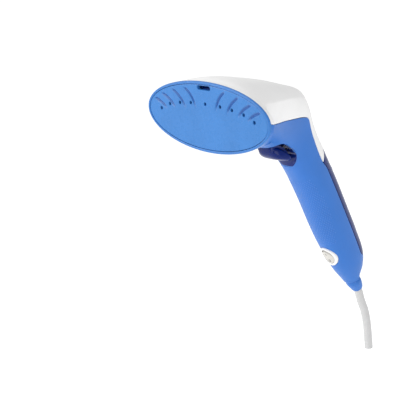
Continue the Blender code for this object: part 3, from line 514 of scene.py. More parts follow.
def cut(obj, other, operation="DIFFERENCE"):
    made = obj.modifiers.new(other.name, "BOOLEAN")
    made.operation = operation
    made.solver = "EXACT"
    made.object = other
    return other


def bake(obj, cutters=()):
    """Applies the modifiers and removes the cutters."""
    bpy.context.view_layer.update()
    graph = bpy.context.evaluated_depsgraph_get()
    mesh = bpy.data.meshes.new_from_object(obj.evaluated_get(graph))
    old = obj.data
    obj.modifiers.clear()
    obj.data = mesh
    bpy.data.meshes.remove(old)
    for cutter in cutters:
        bpy.data.objects.remove(cutter, do_unlink=True)
    return obj


def join(objects):
    """One object from several, keeping the first one's name."""
    first = objects[0]
    bm = bmesh.new()
    for obj in objects:
        bm.from_mesh(obj.data)
    bm.to_mesh(first.data)
    bm.free()
    for obj in objects[1:]:
        bpy.data.objects.remove(obj, do_unlink=True)
    return first


# Materials.

MATERIALS = {}


def nodes_of(material):
    tree = material.node_tree
    shader = tree.nodes["Principled BSDF"]

    def add(kind, **settings):
        node = tree.nodes.new(kind)
        for key, value in settings.items():
            if key in node.inputs:
                node.inputs[key].default_value = value
            else:
                setattr(node, key, value)
        return node

    return tree, shader, add


def finish(
    name, colour, roughness, metallic=0.0, grain=1100.0, depth=0.03, mottle=0.06, spread=0.05,
    wear=0.0, coat=0.0, stretch=(1, 1, 1), transmission=0.0, specular=0.5, subsurface=0.0, groove_shade=None,
):
    """A moulded or cast surface: slow mottling, uneven gloss, fine grain and paler worn edges.

    With a groove colour set, the mesh's groove-depth attribute paints shade towards that colour, darkest
    where the plate's grooves are deepest.
    """
    made = bpy.data.materials.new(name)
    made.use_nodes = True
    tree, shader, add = nodes_of(made)
    link = tree.links.new

    def remapped(value, low, high, to_low, to_high):
        node = add("ShaderNodeMapRange")
        names = ("From Min", "From Max", "To Min", "To Max")
        for key, setting in zip(names, (low, high, to_low, to_high)):
            node.inputs[key].default_value = setting
        link(value, node.inputs["Value"])
        return node.outputs["Result"]

    def mixed(share, first, second):
        node = add("ShaderNodeMix", data_type="RGBA")
        node.inputs[7].default_value = (*second, 1)
        link(share, node.inputs[0])
        link(first, node.inputs[6])
        return node.outputs[2]

    place = add("ShaderNodeTexCoord")
    scale = add("ShaderNodeMapping")
    scale.inputs["Scale"].default_value = stretch
    link(place.outputs["Object"], scale.inputs["Vector"])

    slow = add("ShaderNodeTexNoise", Scale=42.0, Detail=3.0, Roughness=0.55)
    link(scale.outputs["Vector"], slow.inputs["Vector"])
    tone = add("ShaderNodeValToRGB")
    low, high = tone.color_ramp.elements
    low.position, high.position = 0.3, 0.7
    low.color = (*[c * (1 - mottle) for c in colour], 1)
    high.color = (*[min(1.0, c * (1 + mottle)) for c in colour], 1)
    link(slow.outputs["Fac"], tone.inputs["Fac"])
    colour_out = tone.outputs["Color"]
    if wear:
        geometry = add("ShaderNodeNewGeometry")
        edge = remapped(geometry.outputs["Pointiness"], 0.52, 0.62, 0.0, wear)
        colour_out = mixed(edge, colour_out, [min(1.0, 0.25 + c) for c in colour])
    # Painted shade: the colour darkens towards the given one in the plate's grooves, by their depth.
    if groove_shade:
        deep = add("ShaderNodeAttribute", attribute_name="groove_shade")
        colour_out = mixed(deep.outputs["Fac"], colour_out, groove_shade)
    link(colour_out, shader.inputs["Base Color"])

    gloss = add("ShaderNodeTexNoise", Scale=160.0, Detail=4.0, Roughness=0.6)
    link(scale.outputs["Vector"], gloss.inputs["Vector"])
    smoothest, roughest = max(0.03, roughness - spread), min(1.0, roughness + spread)
    link(remapped(gloss.outputs["Fac"], 0.3, 0.7, smoothest, roughest), shader.inputs["Roughness"])

    fine = add("ShaderNodeTexNoise", Scale=grain, Detail=2.0, Roughness=0.5)
    link(scale.outputs["Vector"], fine.inputs["Vector"])
    bump = add("ShaderNodeBump", Strength=depth, Distance=0.2 * MM)
    link(fine.outputs["Fac"], bump.inputs["Height"])
    link(bump.outputs["Normal"], shader.inputs["Normal"])

    shader.inputs["Metallic"].default_value = metallic
    shader.inputs["Coat Weight"].default_value = coat
    shader.inputs["Coat Roughness"].default_value = 0.08
    shader.inputs["Specular IOR Level"].default_value = specular
    shader.inputs["Transmission Weight"].default_value = transmission
    shader.inputs["Subsurface Weight"].default_value = subsurface
    shader.inputs["Subsurface Scale"].default_value = 1.5 * MM
    MATERIALS[name] = made


finish(
    "blue_plastic", (0.024, 0.150, 0.515), 0.38, grain=1500, depth=0.10, mottle=0.04,
    specular=0.35, wear=0.2,
)
finish("white_plastic", (0.81, 0.81, 0.81), 0.36, grain=1400, depth=0.05, wear=0.15, mottle=0.015)
finish("rim_blue", (0.032, 0.165, 0.48), 0.30, grain=1200, depth=0.06, mottle=0.04, specular=0.3, wear=0.1)
# A brighter navy for the brush socket, painted light against the shade deep in the plate.
finish("lit_socket_navy", (0.02, 0.06, 0.34), 0.40, grain=900, depth=0.06, specular=0.3)
# The plate's darker groove colour is painted shade, laid into its grooves by their depth.
finish(
    "plate_blue", (0.038, 0.184, 0.50), 0.28, grain=900, depth=0.04, mottle=0.05, specular=0.35,
    groove_shade=(0.006, 0.070, 0.30),
)
finish("navy_plastic", (0.002, 0.014, 0.130), 0.16, grain=700, depth=0.02, specular=0.18, wear=0.1)
finish("tank_plastic", (0.008, 0.022, 0.140), 0.30, grain=500, depth=0.02, specular=0.2)
finish("switch_white", (0.80, 0.80, 0.80), 0.34, grain=1200, depth=0.06, mottle=0.02)
finish("rocker_grey", (0.56, 0.54, 0.50), 0.34, grain=1200, depth=0.06, mottle=0.02)
finish("cord_white", (0.53, 0.53, 0.53), 0.50, grain=1300, depth=0.12, mottle=0.03)
finish("pump_iron", (0.05, 0.05, 0.06), 0.55, 0.6, grain=800, depth=0.3, wear=0.3)
finish("cast_aluminium", (0.60, 0.61, 0.63), 0.45, 1.0, grain=900, depth=0.45, spread=0.12)
finish("spring_steel", (0.012, 0.018, 0.05), 0.45, 0.3, grain=900, depth=0.1, wear=0.1)
finish("steel", (0.58, 0.58, 0.60), 0.30, 1.0, grain=900, depth=0.12, stretch=(1, 1, 6), wear=0.2)
finish("brass", (0.72, 0.53, 0.24), 0.33, 1.0, grain=900, depth=0.15, spread=0.1)
finish("silicone", (0.62, 0.22, 0.16), 0.62, grain=600, depth=0.15, subsurface=0.1)
finish("clear_hose", (0.74, 0.76, 0.78), 0.30, grain=500, depth=0.08, transmission=0.4)
finish("insulator", (0.72, 0.68, 0.58), 0.75, grain=900, depth=0.5, mottle=0.12)
finish("chassis_grey", (0.22, 0.225, 0.24), 0.55, grain=1200, depth=0.2, wear=0.2)
finish("board_green", (0.02, 0.19, 0.07), 0.42, grain=1500, depth=0.1, coat=0.4)
finish("black_plastic", (0.022, 0.022, 0.024), 0.45, grain=1200, depth=0.15, wear=0.15)
finish("red_wire", (0.50, 0.035, 0.03), 0.42, grain=900, depth=0.1)
finish("blue_wire", (0.04, 0.11, 0.45), 0.42, grain=900, depth=0.1)
finish("mark_grey", (0.16, 0.16, 0.17), 0.50, grain=1500, depth=0.1)


def piece(obj, material, body, replaced=(), angle=40):
    """Gives a finished mesh its material and body, and hides the CAD nodes it stands for."""
    obj.data.materials.clear()
    obj.data.materials.append(MATERIALS[material])
    obj.data.shade_smooth()
    obj.data.set_sharp_from_angle(angle=math.radians(angle))
    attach(obj, body)
    if replaced:
        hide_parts(*replaced)


# Head cover.

def crease_lift(t, height, depth):
    """How far the ridge along the head's side stands out at this section and height."""
    sections = [c[0] for c in CREASE]
    line = float(np.interp(t, sections, [c[1] for c in CREASE]))
    fade = float(np.interp(t, sections, [c[2] for c in CREASE]))
    away = abs(height - line) * depth
    return CREASE_HEIGHT * fade * math.exp(-away / CREASE_REACH)


def make_head_cover():
    rows, inner = [], []
    steps = [-1, -0.5] + [i * SPINE_START / 110 for i in range(111)]
    steps += [SPINE_START + (SPINE_END - SPINE_START) * i / 14 for i in range(1, 15)]
    for t in steps:
        depth = section_depth(t)
        limit = angle_at(t, seam_height(t) + SEAM / 2 / depth)
        roundness = section_values(t)[3]
        row, under = [], []
        for i in range(SHELL_COLUMNS + 1):
            angle = limit * (2 * i / SHELL_COLUMNS - 1)
            stretch = (spine_edge(angle) - SPINE_GAP - SPINE_START) / (SPINE_END - SPINE_START)
            at = t if t < SPINE_START else SPINE_START + (t - SPINE_START) * stretch
            point = skin_point(at, angle)
            under.append(skin_point(at, angle, wall_at(at)))
            c = math.cos(angle)
            height = math.copysign(abs(c) ** (2 / roundness), c)
            lift = crease_lift(at, height, depth)
            if lift > 0.002 * MM:
                point = point + skin_normal(at, angle) * lift
            row.append(point)
        rows.append(row)
        inner.append(under)
    cover = bake(shell("head_cover_skin", rows, inner))
    piece(cover, "white_plastic", ROOT, ["head_cover"])


# Blue body.

def body_steps():
    """The body's rows: spans of sections and how many rows each one has, finest at the tank's end."""
    spans = ((-1, 0, 2), (0, 9, 120), (9, 12.6, 110), (12.6, 13.3, 42), (13.3, LAST, 34))
    steps = []
    for start, end, count in spans:
        steps += [start + (end - start) * i / count for i in range(count)]
    return steps + [LAST]


def grown_pocket(amounts):
    """The pocket's outline in mm, with some of its corners moved out."""
    grown = list(TRIGGER_POCKET)
    for k, distance in amounts.items():
        before, after = Vector(TRIGGER_POCKET[k - 1]), Vector(TRIGGER_POCKET[k + 1])
        along = (after - before).normalized()
        outward = Vector((-along.y, along.x))
        grown[k] = tuple(Vector(TRIGGER_POCKET[k]) + outward * distance)
    return grown


def make_pocket_liner():
    """The dark wall behind the trigger, trimmed to lie just under the skin."""
    far, near = (grown_pocket({k: amount for k in LINED}) for amount in (LINER, LINER_GAP))
    outline = [far[k] for k in LINED] + [near[k] for k in reversed(LINED)]
    liner = prism("pocket_liner", cornered(outline, 0.4 * MM), 24 * MM)
    rings = []
    for i in range(61):
        t = 4.6 + 4.0 * i / 60
        inset = 0.25 * MM + (WALL - 0.1 * MM) * (1 - eased(6.9, 7.3, t))
        rings.append([skin_point(t, 2 * math.pi * k / 96, inset) for k in range(96)])
    cutters = [cut(liner, loft("inside_skin", rings), "INTERSECT")]
    for start, end, half_width in ((55.5, 64.5, 9.2), (74.8, 80.2, 2.4)):
        way = ((start, -50), (start, -26), (end, -26), (end, -50))
        cutters.append(cut(liner, prism_mm("trigger_way", way, half_width)))
    cutters.append(cut(liner, upright_rod("spring_way", 0, SPRING_FOOT.y, -45, -26, 3.1)))
    piece(bake(liner, cutters), "navy_plastic", ROOT)


def make_body():
    rows, inner = [], []
    for t in body_steps():
        height = seam_height(t)
        if t < TANK_END:
            height -= SEAM / 2 / section_depth(t)
        limit = angle_at(t, height)
        span = 2 * math.pi - 2 * limit
        angles = [limit + span * i / SHELL_COLUMNS for i in range(SHELL_COLUMNS + 1)]
        curl = [NOTCH * eased(13.55, LAST, t) * max(0.0, math.cos(a)) for a in angles]
        rows.append([skin_point(t, a, c) for a, c in zip(angles, curl)])
        inner.append([skin_point(t, a, c + wall_at(t)) for a, c in zip(angles, curl)])
    body = shell("body_skin", rows, inner)
    cutters = []
    screws = [(side * SCREW_AT[0], SCREW_AT[1]) for side in (-1, 1)]
    for x, y in screws:
        cutters.append(cut(body, upright_rod("body_post", x, y, -25.4, -2.1, 3.4), "UNION"))
    for x, y in screws:
        cutters.append(cut(body, upright_rod("screw_recess", x, y, -45, -22, 2.7)))
        cutters.append(cut(body, upright_rod("screw_way", x, y, -30, 0, 1.7)))
    cutters.append(cut(body, prism("pocket", cornered(grown_pocket(BARED), 2 * MM), 27 * MM)))
    rings = [
        [Vector((p.x, y * MM, p.z)) for p in on_surface(SWITCH_HALF, SWITCH_DOWN, 0.32 * MM, 0, -1)]
        for y in (-24, -8)
    ]
    cutters.append(cut(body, loft("switch_hole", rings, HANDLE)))
    piece(bake(body, cutters), "blue_plastic", ROOT, ["body_shell"])


def make_grip_dots():
    """Rows of low round dots over the front and sides of the grip."""
    points, faces = [], []
    sides = 10
    row = 0
    down = GRIP_TOP
    while down < GRIP_END:
        t = handle_section(down)
        width = section_values(t)[2]
        reach = 1.15 * (0.75 + 0.25 * math.sin(math.pi * down / (GRIP_END + GRIP_TOP)))
        count = int(reach * width / DOT_PITCH)
        for k in range(-count, count + 1):
            angle = math.pi + (k + (0.5 if row % 2 else 0)) * DOT_PITCH / width
            centre = skin_point(t, angle)
            normal = skin_normal(t, angle)
            side = normal.cross(Vector((0, 0, 1))).normalized()
            other = normal.cross(side)
            base = len(points)
            for radius, lift in DOT_PROFILE:
                for i in range(sides):
                    a = 2 * math.pi * i / sides
                    spoke = side * math.cos(a) + other * math.sin(a)
                    points.append(centre + normal * lift * MM + spoke * radius * MM)
            for ring in (0, 1):
                for i in range(sides):
                    j = (i + 1) % sides
                    low, high = base + ring * sides, base + (ring + 1) * sides
                    faces.append((low + i, low + j, high + j, high + i))
            faces.append(tuple(base + 2 * sides + i for i in range(sides)))
            faces.append(tuple(base + i for i in reversed(range(sides))))
        row += 1
        down += DOT_PITCH * 0.87
    piece(new_object("grip_dots", points, faces), "blue_plastic", ROOT, angle=60)


# Steam plate and its rim.

def oval(half_width, half_height, y, segments=240):
    ring = []
    for i in range(segments):
        a = 2 * math.pi * i / segments
        c, s = math.cos(a), math.sin(a)
        ring.append(Vector((half_width * c * (1 + PLATE_EGG * s), y, half_height * s)))
    return ring


def slot_ring(y, grow, segments=12):
    """A stadium outline across the plate's top."""
    radius = SLOT_RADIUS + grow
    ring = []
    for side in (1, -1):
        for i in range(segments + 1):
            a = math.pi * i / segments - math.pi / 2
            ring.append(Vector((
                side * (SLOT_HALF_LENGTH - SLOT_RADIUS + radius * math.cos(a)), y,
                SLOT_HEIGHT + side * radius * math.sin(a),
            )))
    return ring


def make_rim():
    # How far in from the plate's outline, and how far back, in mm.
    outline = (
        (0, 1.5), (0, 1.15), (0.08, 0.8), (0.3, 0.42), (0.7, 0.12), (1.2, 0), (1.8, 0.02), (2.15, 0.16),
        (2.36, 0.42), (2.4, 0.8), (2.4, 3.7), (4.8, 3.7), (4.8, 5.2), (3.4, 5.2), (1.6, 3.9), (1.6, 1.5),
    )
    rings = [oval(PLATE_HALF_WIDTH - d * MM, PLATE_HALF_HEIGHT - d * MM, y * MM) for d, y in outline]
    rim = loft("rim_ring", rings, closed=True)
    slot = loft("frame_slot", [slot_ring(y, 0) for y in (2 * MM, 9 * MM)])
    piece(bake(rim, [cut(rim, slot)]), "rim_blue", ROOT, ["plate_frame"], angle=50)


def groove_depths(x, z):
    """How deep the grooves are at each point, the deepest of all counting."""
    deep = np.zeros_like(x)
    for path in GROOVES:
        a, b, c = (np.array(p) * MM for p in path)
        for side in (-1, 1):
            for i in range(61):
                f = i / 60
                point = a * (1 - f) ** 2 + 2 * b * f * (1 - f) + c * f**2
                width = GROOVE_HALF_WIDTH * (0.55 + 0.55 * math.sin(math.pi * min(1, f * 0.75 + 0.15)))
                taper = eased(-0.02, 0.14, f) * (1 - eased(0.72, 1.04, f))
                away = np.hypot(x - side * point[0], z - point[1]) / width
                here = GROOVE_DEPTH * taper * np.clip(1 - away**2, 0, 1) ** 1.4
                deep = np.maximum(deep, here)
    return deep


def cut_holes(plate):
    """Opens the steam holes and the slot, all with eased rims."""
    profile = ((2.6, -1.5), (1.7, 0.55), (1.5, 0.8), (1.4, 1.2), (1.4, 6.0))
    holes = []
    for x, z in STEAM_HOLES:
        for side in (-1, 1) if x else (1,):
            holes.append(turned(
                "steam_hole", [(r * MM, d * MM) for r, d in profile], Vector((side * x, 0, z)) * MM,
                (0, 1, 0), PLATE, 28,
            ))
    holes.append(loft("brush_slot", [
        slot_ring(y * MM, grow * MM) for y, grow in ((-1, 1.3), (0.45, 0.35), (0.75, 0.1), (1.0, 0), (6, 0))
    ]))
    bake(plate, [cut(plate, join(holes))])


def make_plate():
    """The plate's dished face is a square grid bent into the oval, so its faces stay even."""
    half_width = PLATE_HALF_WIDTH - LIP - GAP
    half_height = PLATE_HALF_HEIGHT - LIP - GAP
    wide, tall = 240, 130
    u, v = np.meshgrid(np.linspace(-1, 1, wide + 1), np.linspace(-1, 1, tall + 1))
    across = u * np.sqrt(1 - v**2 / 2)
    up = v * np.sqrt(1 - u**2 / 2)
    share = np.hypot(across, up)
    x = half_width * across * (1 + PLATE_EGG * up)
    z = half_height * up
    edge = np.clip((share - 0.985) / 0.015, 0, 1)
    y = PLATE_RECESS + PLATE_DISH * (1 - share**2) + groove_depths(x, z) + 0.25 * MM * edge**2
    points = list(zip(x.ravel(), y.ravel(), z.ravel()))
    row = wide + 1
    faces = [
        (j * row + i, j * row + i + 1, (j + 1) * row + i + 1, (j + 1) * row + i)
        for j in range(tall)
        for i in range(wide)
    ]
    border = list(range(row)) + [j * row + wide for j in range(1, tall + 1)]
    border += [tall * row + i for i in range(wide - 1, -1, -1)] + [j * row for j in range(tall - 1, 0, -1)]
    back = len(points)
    points += [(points[i][0], PLATE_BACK, points[i][2]) for i in border]
    count = len(border)
    faces += [
        (border[i], back + i, back + (i + 1) % count, border[(i + 1) % count]) for i in range(count)
    ]
    faces.append(tuple(range(back, back + count)))
    plate = new_object("plate_face", points, faces)
    cut_holes(plate)
    # Each point's groove depth is kept on the mesh, for the painted shade in the grooves.
    places = [PLATE.inverted() @ v.co for v in plate.data.vertices]
    deep = groove_depths(np.array([p.x for p in places]), np.array([p.z for p in places])) / GROOVE_DEPTH
    groove_shade = plate.data.attributes.new("groove_shade", "FLOAT", "POINT")
    groove_shade.data.foreach_set("value", deep.astype(np.float32))
    piece(plate, "plate_blue", ROOT, ["steam_plate"])


# Trigger.

def rounded_end(end, inward):
    """A smaller ring just past the end one, away from a ring further in."""
    middle = sum(end, Vector()) / len(end)
    beyond = (middle - sum(inward, Vector()) / len(inward)).normalized() * 0.35 * MM
    return [middle + (p - middle) * 0.72 + beyond for p in end]


def make_trigger():
    rings = []
    sides = 64
    rows = rounded([(*outer, *inner, half) for outer, inner, half in TRIGGER_SECTIONS], 8)
    for y0, z0, y1, z1, half_width in rows:
        outer = Vector((0, y0, z0)) * MM
        inner = Vector((0, y1, z1)) * MM
        middle, reach = (outer + inner) / 2, (outer - inner) / 2
        ring = []
        for i in range(sides):
            a = 2 * math.pi * i / sides
            c, s = math.cos(a), math.sin(a)
            along = math.copysign(abs(c) ** (2 / 3), c)
            side = math.copysign(abs(s) ** (2 / 3), s)
            ring.append(middle + reach * along + Vector((half_width * MM * side, 0, 0)))
        rings.append(ring)
    first = rounded_end(rings[0], rings[3])
    last = rounded_end(rings[-1], rings[-4])
    paddle = loft("trigger_paddle", [first] + rings + [last])
    cutters = []
    for name, outline, half_width in (
        ("skirt", TRIGGER_SKIRT, 8.4),
        ("lug", TRIGGER_LUG, 6.0),
        ("nub", ((76.0, -44.5), (79.0, -44.5), (79.0, -37.9), (76.0, -37.9)), 1.6),
    ):
        cutters.append(cut(paddle, prism_mm(name, outline, half_width), "UNION"))
    cutters.append(cut(paddle, rod("pin_hole", (-12 * MM, *PIVOT), (12 * MM, *PIVOT), 1.4 * MM)))
    piece(bake(paddle, cutters), "navy_plastic", "trigger", ["trigger"], angle=45)


def make_spring():
    """The return spring at rest; the real one shortens as the trigger is pressed, which is not drawn here.
    """
    steps = 28
    count = SPRING_TURNS * steps
    path = []
    for i in range(count + 1):
        a = 2 * math.pi * i / steps
        rise = SPRING_LENGTH * i / count
        path.append(SPRING_FOOT + Vector((SPRING_RADIUS * math.cos(a), SPRING_RADIUS * math.sin(a), rise)))
    spring = tube("spring_coil", path, SPRING_WIRE, sides=10)
    piece(spring, "spring_steel", ROOT, ["trigger_spring"], angle=60)
    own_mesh(spring)


# Tank and filler cap.

def tank_ring(step, inset, top_down, bottom):
    """One section of the tank, its arc along the skin and its front face flat."""
    columns = 64
    ring = []
    t = SPINE_END + (bottom - SPINE_END) * step
    lift = (SEAM / 2 + 0.1 * MM + inset) / section_depth(t)
    limit = angle_at(t, max(seam_height(t), tank_height(t) - 0.11) + lift)
    for i in range(columns + 1):
        angle = limit * (2 * i / columns - 1)
        start = spine_edge(angle) + SPINE_GAP + top_down
        ring.append(skin_point(start + (bottom - start) * step, angle, inset))
    return ring


def make_tank():
    steps = [i / 80 for i in range(73)] + [0.9 + 0.085 * i / 16 for i in range(1, 17)]
    tank = loft("tank_skin", [tank_ring(s, 0, 0, TANK_END) for s in steps])
    round_edges(tank, 0.35 * MM, 40)
    cutters = [cut(tank, cross_rod("spigot", SPIGOT_DOWN, -0.6, 9.6, 2.4), "UNION")]
    inner = [tank_ring(i / 40, TANK_WALL, 0.07, TANK_END - 0.2) for i in range(39)]
    cutters.append(cut(tank, loft("inside", inner)))
    cutters.append(cut(tank, cross_rod("spigot_bore", SPIGOT_DOWN, -4, 11, 1.3)))
    cutters.append(cut(tank, cross_rod("mouth", CAP_DOWN, 12, 26, 5.2, 48)))
    piece(bake(tank, cutters), "tank_plastic", "tank", ["water_tank"])


def make_tank_bed():
    """The casing's floor under the tank, open where the tank's spigot meets its seal."""
    rings = []
    for k in range(60):
        down = (-3 + 114 * k / 59) * MM
        t = handle_section(down)
        top, front, width, roundness = section_values(t)
        middle = to_handle((top + front) / 2).y
        height = (TANK_FACE + 0.2 * MM - middle) / section_depth(t)
        half = width * max(0.0, 1 - abs(height) ** roundness) ** (1 / roundness) - WALL - 0.3 * MM
        corners = ((-1, 5.6), (1, 5.6), (1, 7.0), (-1, 7.0))
        rings.append([Vector((x * half, back * MM, -down)) for x, back in corners])
    bed = loft("tank_bed", rings, HANDLE)
    hole = cross_rod("seal_way", SPIGOT_DOWN, 3, 9, 3.2)
    piece(bake(bed, [cut(bed, hole)]), "blue_plastic", ROOT)


def make_filler_cap():
    point = (0.0, 0.0)
    outline = (
        (0.4, 1.0), (1.5, 1.03), (4.0, 1.2), (5.6, 1.2), (6.6, 1.12), (7.15, 0.95), (7.4, 0.7), (7.4, 0.45),
        (7.25, 0.3), (4.8, 0.3),
    )
    rings = [on_surface(point, CAP_DOWN, r * MM, lift * MM, 1, 72) for r, lift in outline]
    floor = surface(0, CAP_DOWN, 1) - 3.4 * MM
    for r, up in ((4.8, 0.3), (4.5, 0), (0.4, 0)):
        circle = on_surface(point, CAP_DOWN, r * MM, 0, 1, 72)
        rings.append([Vector((p.x, floor + up * MM, p.z)) for p in circle])
    cap = loft("filler_cap_skin", rings, HANDLE)
    strap = []
    for down in np.linspace(23.5, 28.4, 12):
        back = surface(0, down * MM, 1)
        half = 2.5 * MM
        end = eased(28.4, 27.4, down)
        strap.append([
            Vector((x * half * (0.6 + 0.4 * end), back + lift * MM, -down * MM))
            for x, lift in ((-1, 0.4), (-1, 1.0), (-0.85, 1.15), (0.85, 1.15), (1, 1.0), (1, 0.4))
        ])
    cutters = [cut(cap, loft("strap", strap, HANDLE), "UNION")]
    piece(bake(cap, cutters), "navy_plastic", "cap", ["filler_cap"])


# Power switch.

def make_switch():
    # How far out from the switch's oval, and how far off the skin, in mm.
    outline = (
        (0, -0.9), (0, 0.8), (-0.15, 1.15), (-0.5, 1.38), (-1.0, 1.46), (-1.5, 1.42), (-1.95, 1.25),
        (-2.25, 0.95), (-2.3, 0.6), (-2.3, -3.0), (-1.0, -3.0), (-1.0, -0.9),
    )
    rings = [on_surface(SWITCH_HALF, SWITCH_DOWN, d * MM, lift * MM, -1) for d, lift in outline]
    piece(loft("switch_ring", rings, HANDLE, closed=True), "switch_white", ROOT, ["switch_bezel"], angle=45)


ROCKER_FRONT = surface(0, SWITCH_DOWN, -1)
ROCKER_PIVOT = Vector((0, ROCKER_FRONT + ROCKER_DEPTH, -SWITCH_DOWN))
ROCKER_TURN = Matrix.Translation(ROCKER_PIVOT) @ Matrix.Rotation(ROCKER_TILT, 4, "X")


def on_rocker(x, up, lift=0.0):
    """A point on the rocker's face, x across and up from its middle, in the handle's frame."""
    down = SWITCH_DOWN - up
    rise = 0.9 * MM + 0.6 * MM * (up / ROCKER_HALF[1]) ** 2
    point = Vector((x, surface(x, down, -1) - rise - lift, -down))
    return ROCKER_TURN @ (point - ROCKER_PIVOT)


def make_rocker():
    rings = []
    shares = [0.04] + [i / 12 for i in range(1, 12)] + [0.955, 0.98, 0.995, 1.0]
    drops = {0.955: 0.04, 0.98: 0.14, 0.995: 0.3, 1.0: 0.6}
    for share in shares:
        ring = []
        for i in range(96):
            a = 2 * math.pi * i / 96
            x = ROCKER_HALF[0] * share * math.cos(a)
            up = -ROCKER_HALF[1] * share * math.sin(a)
            ring.append(on_rocker(x, up, -drops.get(share, 0) * MM))
        rings.append(ring)
    bottom = ROCKER_FRONT + 3.2 * MM
    for share in (1.0, 0.3):
        half = (ROCKER_HALF[0] * share, ROCKER_HALF[1] * share)
        rings.append([
            ROCKER_TURN @ (Vector((p.x, bottom, p.z)) - ROCKER_PIVOT)
            for p in on_surface(half, SWITCH_DOWN, 0, 0, -1)
        ])
    cap = loft("rocker_cap", rings, HANDLE)
    piece(cap, "rocker_grey", "rocker", ["power_rocker"], angle=45)
    bar = [on_rocker(0, (3.1 + 2.2 * i / 8) * MM, MARK_LIFT) for i in range(9)]
    ring = []
    for i in range(36):
        a = 2 * math.pi * i / 36
        ring.append(on_rocker(1.15 * MM * math.cos(a), (-4.3 + 1.15 * math.sin(a)) * MM, MARK_LIFT))
    mark_on = tube("mark_on", bar, 0.24 * MM, HANDLE, sides=10)
    mark_off = tube("mark_off", ring, 0.22 * MM, HANDLE, closed=True, sides=10)
    for mark in (mark_on, mark_off):
        piece(mark, "mark_grey", "rocker", angle=60)


# Cord and boot.

def make_cord():
    # The boot's outline: radius, distance past the handle's end, and how far off the axis, in mm.
    bulge = (
        (6.2, 0.3, -1.9), (6.4, 0.75, -1.8), (6.6, 1.4, -1.6), (7.0, 3.0, -1.15), (7.1, 4.6, -0.85),
        (6.75, 7, -0.5), (6.1, 10, -0.15), (5.55, 12.2, 0), (5.1, 13.3, 0), (4.7, 14, 0), (4.4, 14.15, 0),
    )
    outline = [(5.6, -6.2, -0.6), (5.6, -3.6, -0.6), (5.3, -3.2, -0.6), (5.3, 0.3, -0.6)]
    outline += [tuple(p) for p in rounded(bulge, 4)] + [(4.1, 14.2, 0), (4.1, -6.2, 0)]
    rings = []
    for radius, down, offset in outline:
        centre = Vector((0, CORD_OFFSET / MM + offset, -HANDLE_END / MM - down))
        turns = [2 * math.pi * i / 72 for i in range(72)]
        rings.append([(centre + Vector((math.cos(a), math.sin(a), 0)) * radius) * MM for a in turns])
    piece(loft("boot_skin", rings, HANDLE, closed=True), "blue_plastic", ROOT, ["strain_relief"], angle=50)
    end = HANDLE_END / MM
    straight = [from_handle(0, CORD_OFFSET, d * MM) for d in (106.5, end, end + 14.6)]
    tail = [Vector((0, y * MM, z * MM)) for y, z in CORD_TAIL]
    path = [Vector(p) for p in rounded([tuple(p) for p in straight + tail], 12)]
    cord = tube("cord_sheath", path, CORD_RADIUS, sides=48)
    piece(cord, "cord_white", ROOT, ["power_cord"], angle=50)


make_head_cover()
make_body()
make_pocket_liner()
make_grip_dots()
make_rim()
make_plate()
make_trigger()
make_spring()
make_tank()
make_tank_bed()
make_filler_cap()
make_switch()
make_rocker()
make_cord()


# CAD nodes.

def dress_nodes():
    """Gives each CAD node that is still shown its slot's look."""
    looks = {part["node"]: part["material_slot"] for part in frame["record"]["subparts"]}
    # The socket lies deep in the plate, so it takes a brighter navy: painted light that lifts the shade it
    # lies in.
    looks["brush_socket"] = "lit_socket_navy"
    for name, obj in frame["nodes"].items():
        if not obj.hide_render:
            for entry in obj.material_slots:
                entry.material = MATERIALS[looks[name]]


dress_nodes()


# Floor, light and camera.

def make_floor():
    turns = ((-1, -1), (1, -1), (1, 1), (-1, 1))
    corners = [(x * FLOOR_HALF, y * FLOOR_HALF, FLOOR_HEIGHT) for x, y in turns]
    floor = new_object("floor", corners, [(0, 1, 2, 3)], Matrix())
    made = bpy.data.materials.new("floor_paper")
    made.use_nodes = True
    tree, shader, add = nodes_of(made)
    noise = add("ShaderNodeTexNoise", Scale=3.0, Detail=2.0)
    tone = add("ShaderNodeValToRGB")
    low, high = tone.color_ramp.elements
    low.color, high.color = (0.95, 0.95, 0.95, 1), (0.97, 0.97, 0.97, 1)
    tree.links.new(noise.outputs["Fac"], tone.inputs["Fac"])
    tree.links.new(tone.outputs["Color"], shader.inputs["Base Color"])
    shader.inputs["Roughness"].default_value = 0.9
    shader.inputs["Specular IOR Level"].default_value = 0.1
    shader.inputs["Emission Color"].default_value = (1, 1, 1, 1)
    shader.inputs["Emission Strength"].default_value = 0.3
    floor.data.materials.append(made)


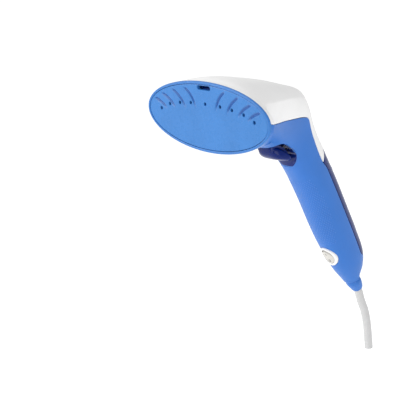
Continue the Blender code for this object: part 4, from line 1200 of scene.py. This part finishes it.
def make_light():
    """A white surround that is darker in two directions, and two soft lamps."""
    world = bpy.data.worlds.new("studio")
    world.use_nodes = True
    bpy.context.scene.world = world
    tree = world.node_tree
    link = tree.links.new
    background = tree.nodes["Background"]
    background.inputs["Color"].default_value = (1, 1, 1, 1)
    ways = tree.nodes.new("ShaderNodeTexCoord")
    falls = []
    for towards, level in (((0.55, 0.8, 0.2), 0.66), ((0.75, -0.62, 0.15), 0.62)):
        dot = tree.nodes.new("ShaderNodeVectorMath")
        dot.operation = "DOT_PRODUCT"
        dot.inputs[1].default_value = Vector(towards).normalized()
        link(ways.outputs["Generated"], dot.inputs[0])
        fall = tree.nodes.new("ShaderNodeMapRange")
        fall.interpolation_type = "SMOOTHSTEP"
        fall.inputs["From Min"].default_value = 0.1
        fall.inputs["From Max"].default_value = 0.95
        fall.inputs["To Min"].default_value = 1.0
        fall.inputs["To Max"].default_value = level
        link(dot.outputs["Value"], fall.inputs["Value"])
        falls.append(fall)
    both = tree.nodes.new("ShaderNodeMath")
    both.operation = "MULTIPLY"
    for k, fall in enumerate(falls):
        link(fall.outputs["Result"], both.inputs[k])
    paths = tree.nodes.new("ShaderNodeLightPath")
    seen = tree.nodes.new("ShaderNodeMath")
    seen.operation = "MAXIMUM"
    link(both.outputs["Value"], seen.inputs[0])
    link(paths.outputs["Is Camera Ray"], seen.inputs[1])
    link(seen.outputs["Value"], background.inputs["Strength"])
    for name, place, size, power in (
        ("key", (-0.75, -1.1, 0.55), 0.9, 9.0),
        ("side", (1.3, -0.5, 0.25), 0.7, 4.0),
    ):
        data = bpy.data.lights.new(name, "AREA")
        data.size = size
        data.energy = power
        lamp = bpy.data.objects.new(name, data)
        bpy.context.scene.collection.objects.link(lamp)
        lamp.location = place
        lamp.rotation_euler = (Vector((0, -0.05, 0.03)) - Vector(place)).to_track_quat("-Z", "Y").to_euler()


def make_camera():
    forward = (AIM - EYE).normalized()
    right = forward.cross(Vector((0, 0, 1))).normalized()
    up = right.cross(forward)
    x = right * math.cos(ROLL) + up * math.sin(ROLL)
    y = up * math.cos(ROLL) - right * math.sin(ROLL)
    data = bpy.data.cameras.new("camera")
    data.lens = LENS
    data.sensor_width = 36.0
    data.clip_end = 100
    camera = bpy.data.objects.new("camera", data)
    bpy.context.scene.collection.objects.link(camera)
    turn = Matrix((x, y, -forward)).transposed().to_4x4()
    camera.matrix_world = Matrix.Translation(EYE) @ turn
    bpy.context.scene.camera = camera
    bpy.context.scene.view_settings.view_transform = "Standard"
    bpy.context.scene.view_settings.look = "None"


make_floor()
make_light()
make_camera()

bpy.context.view_layer.update()
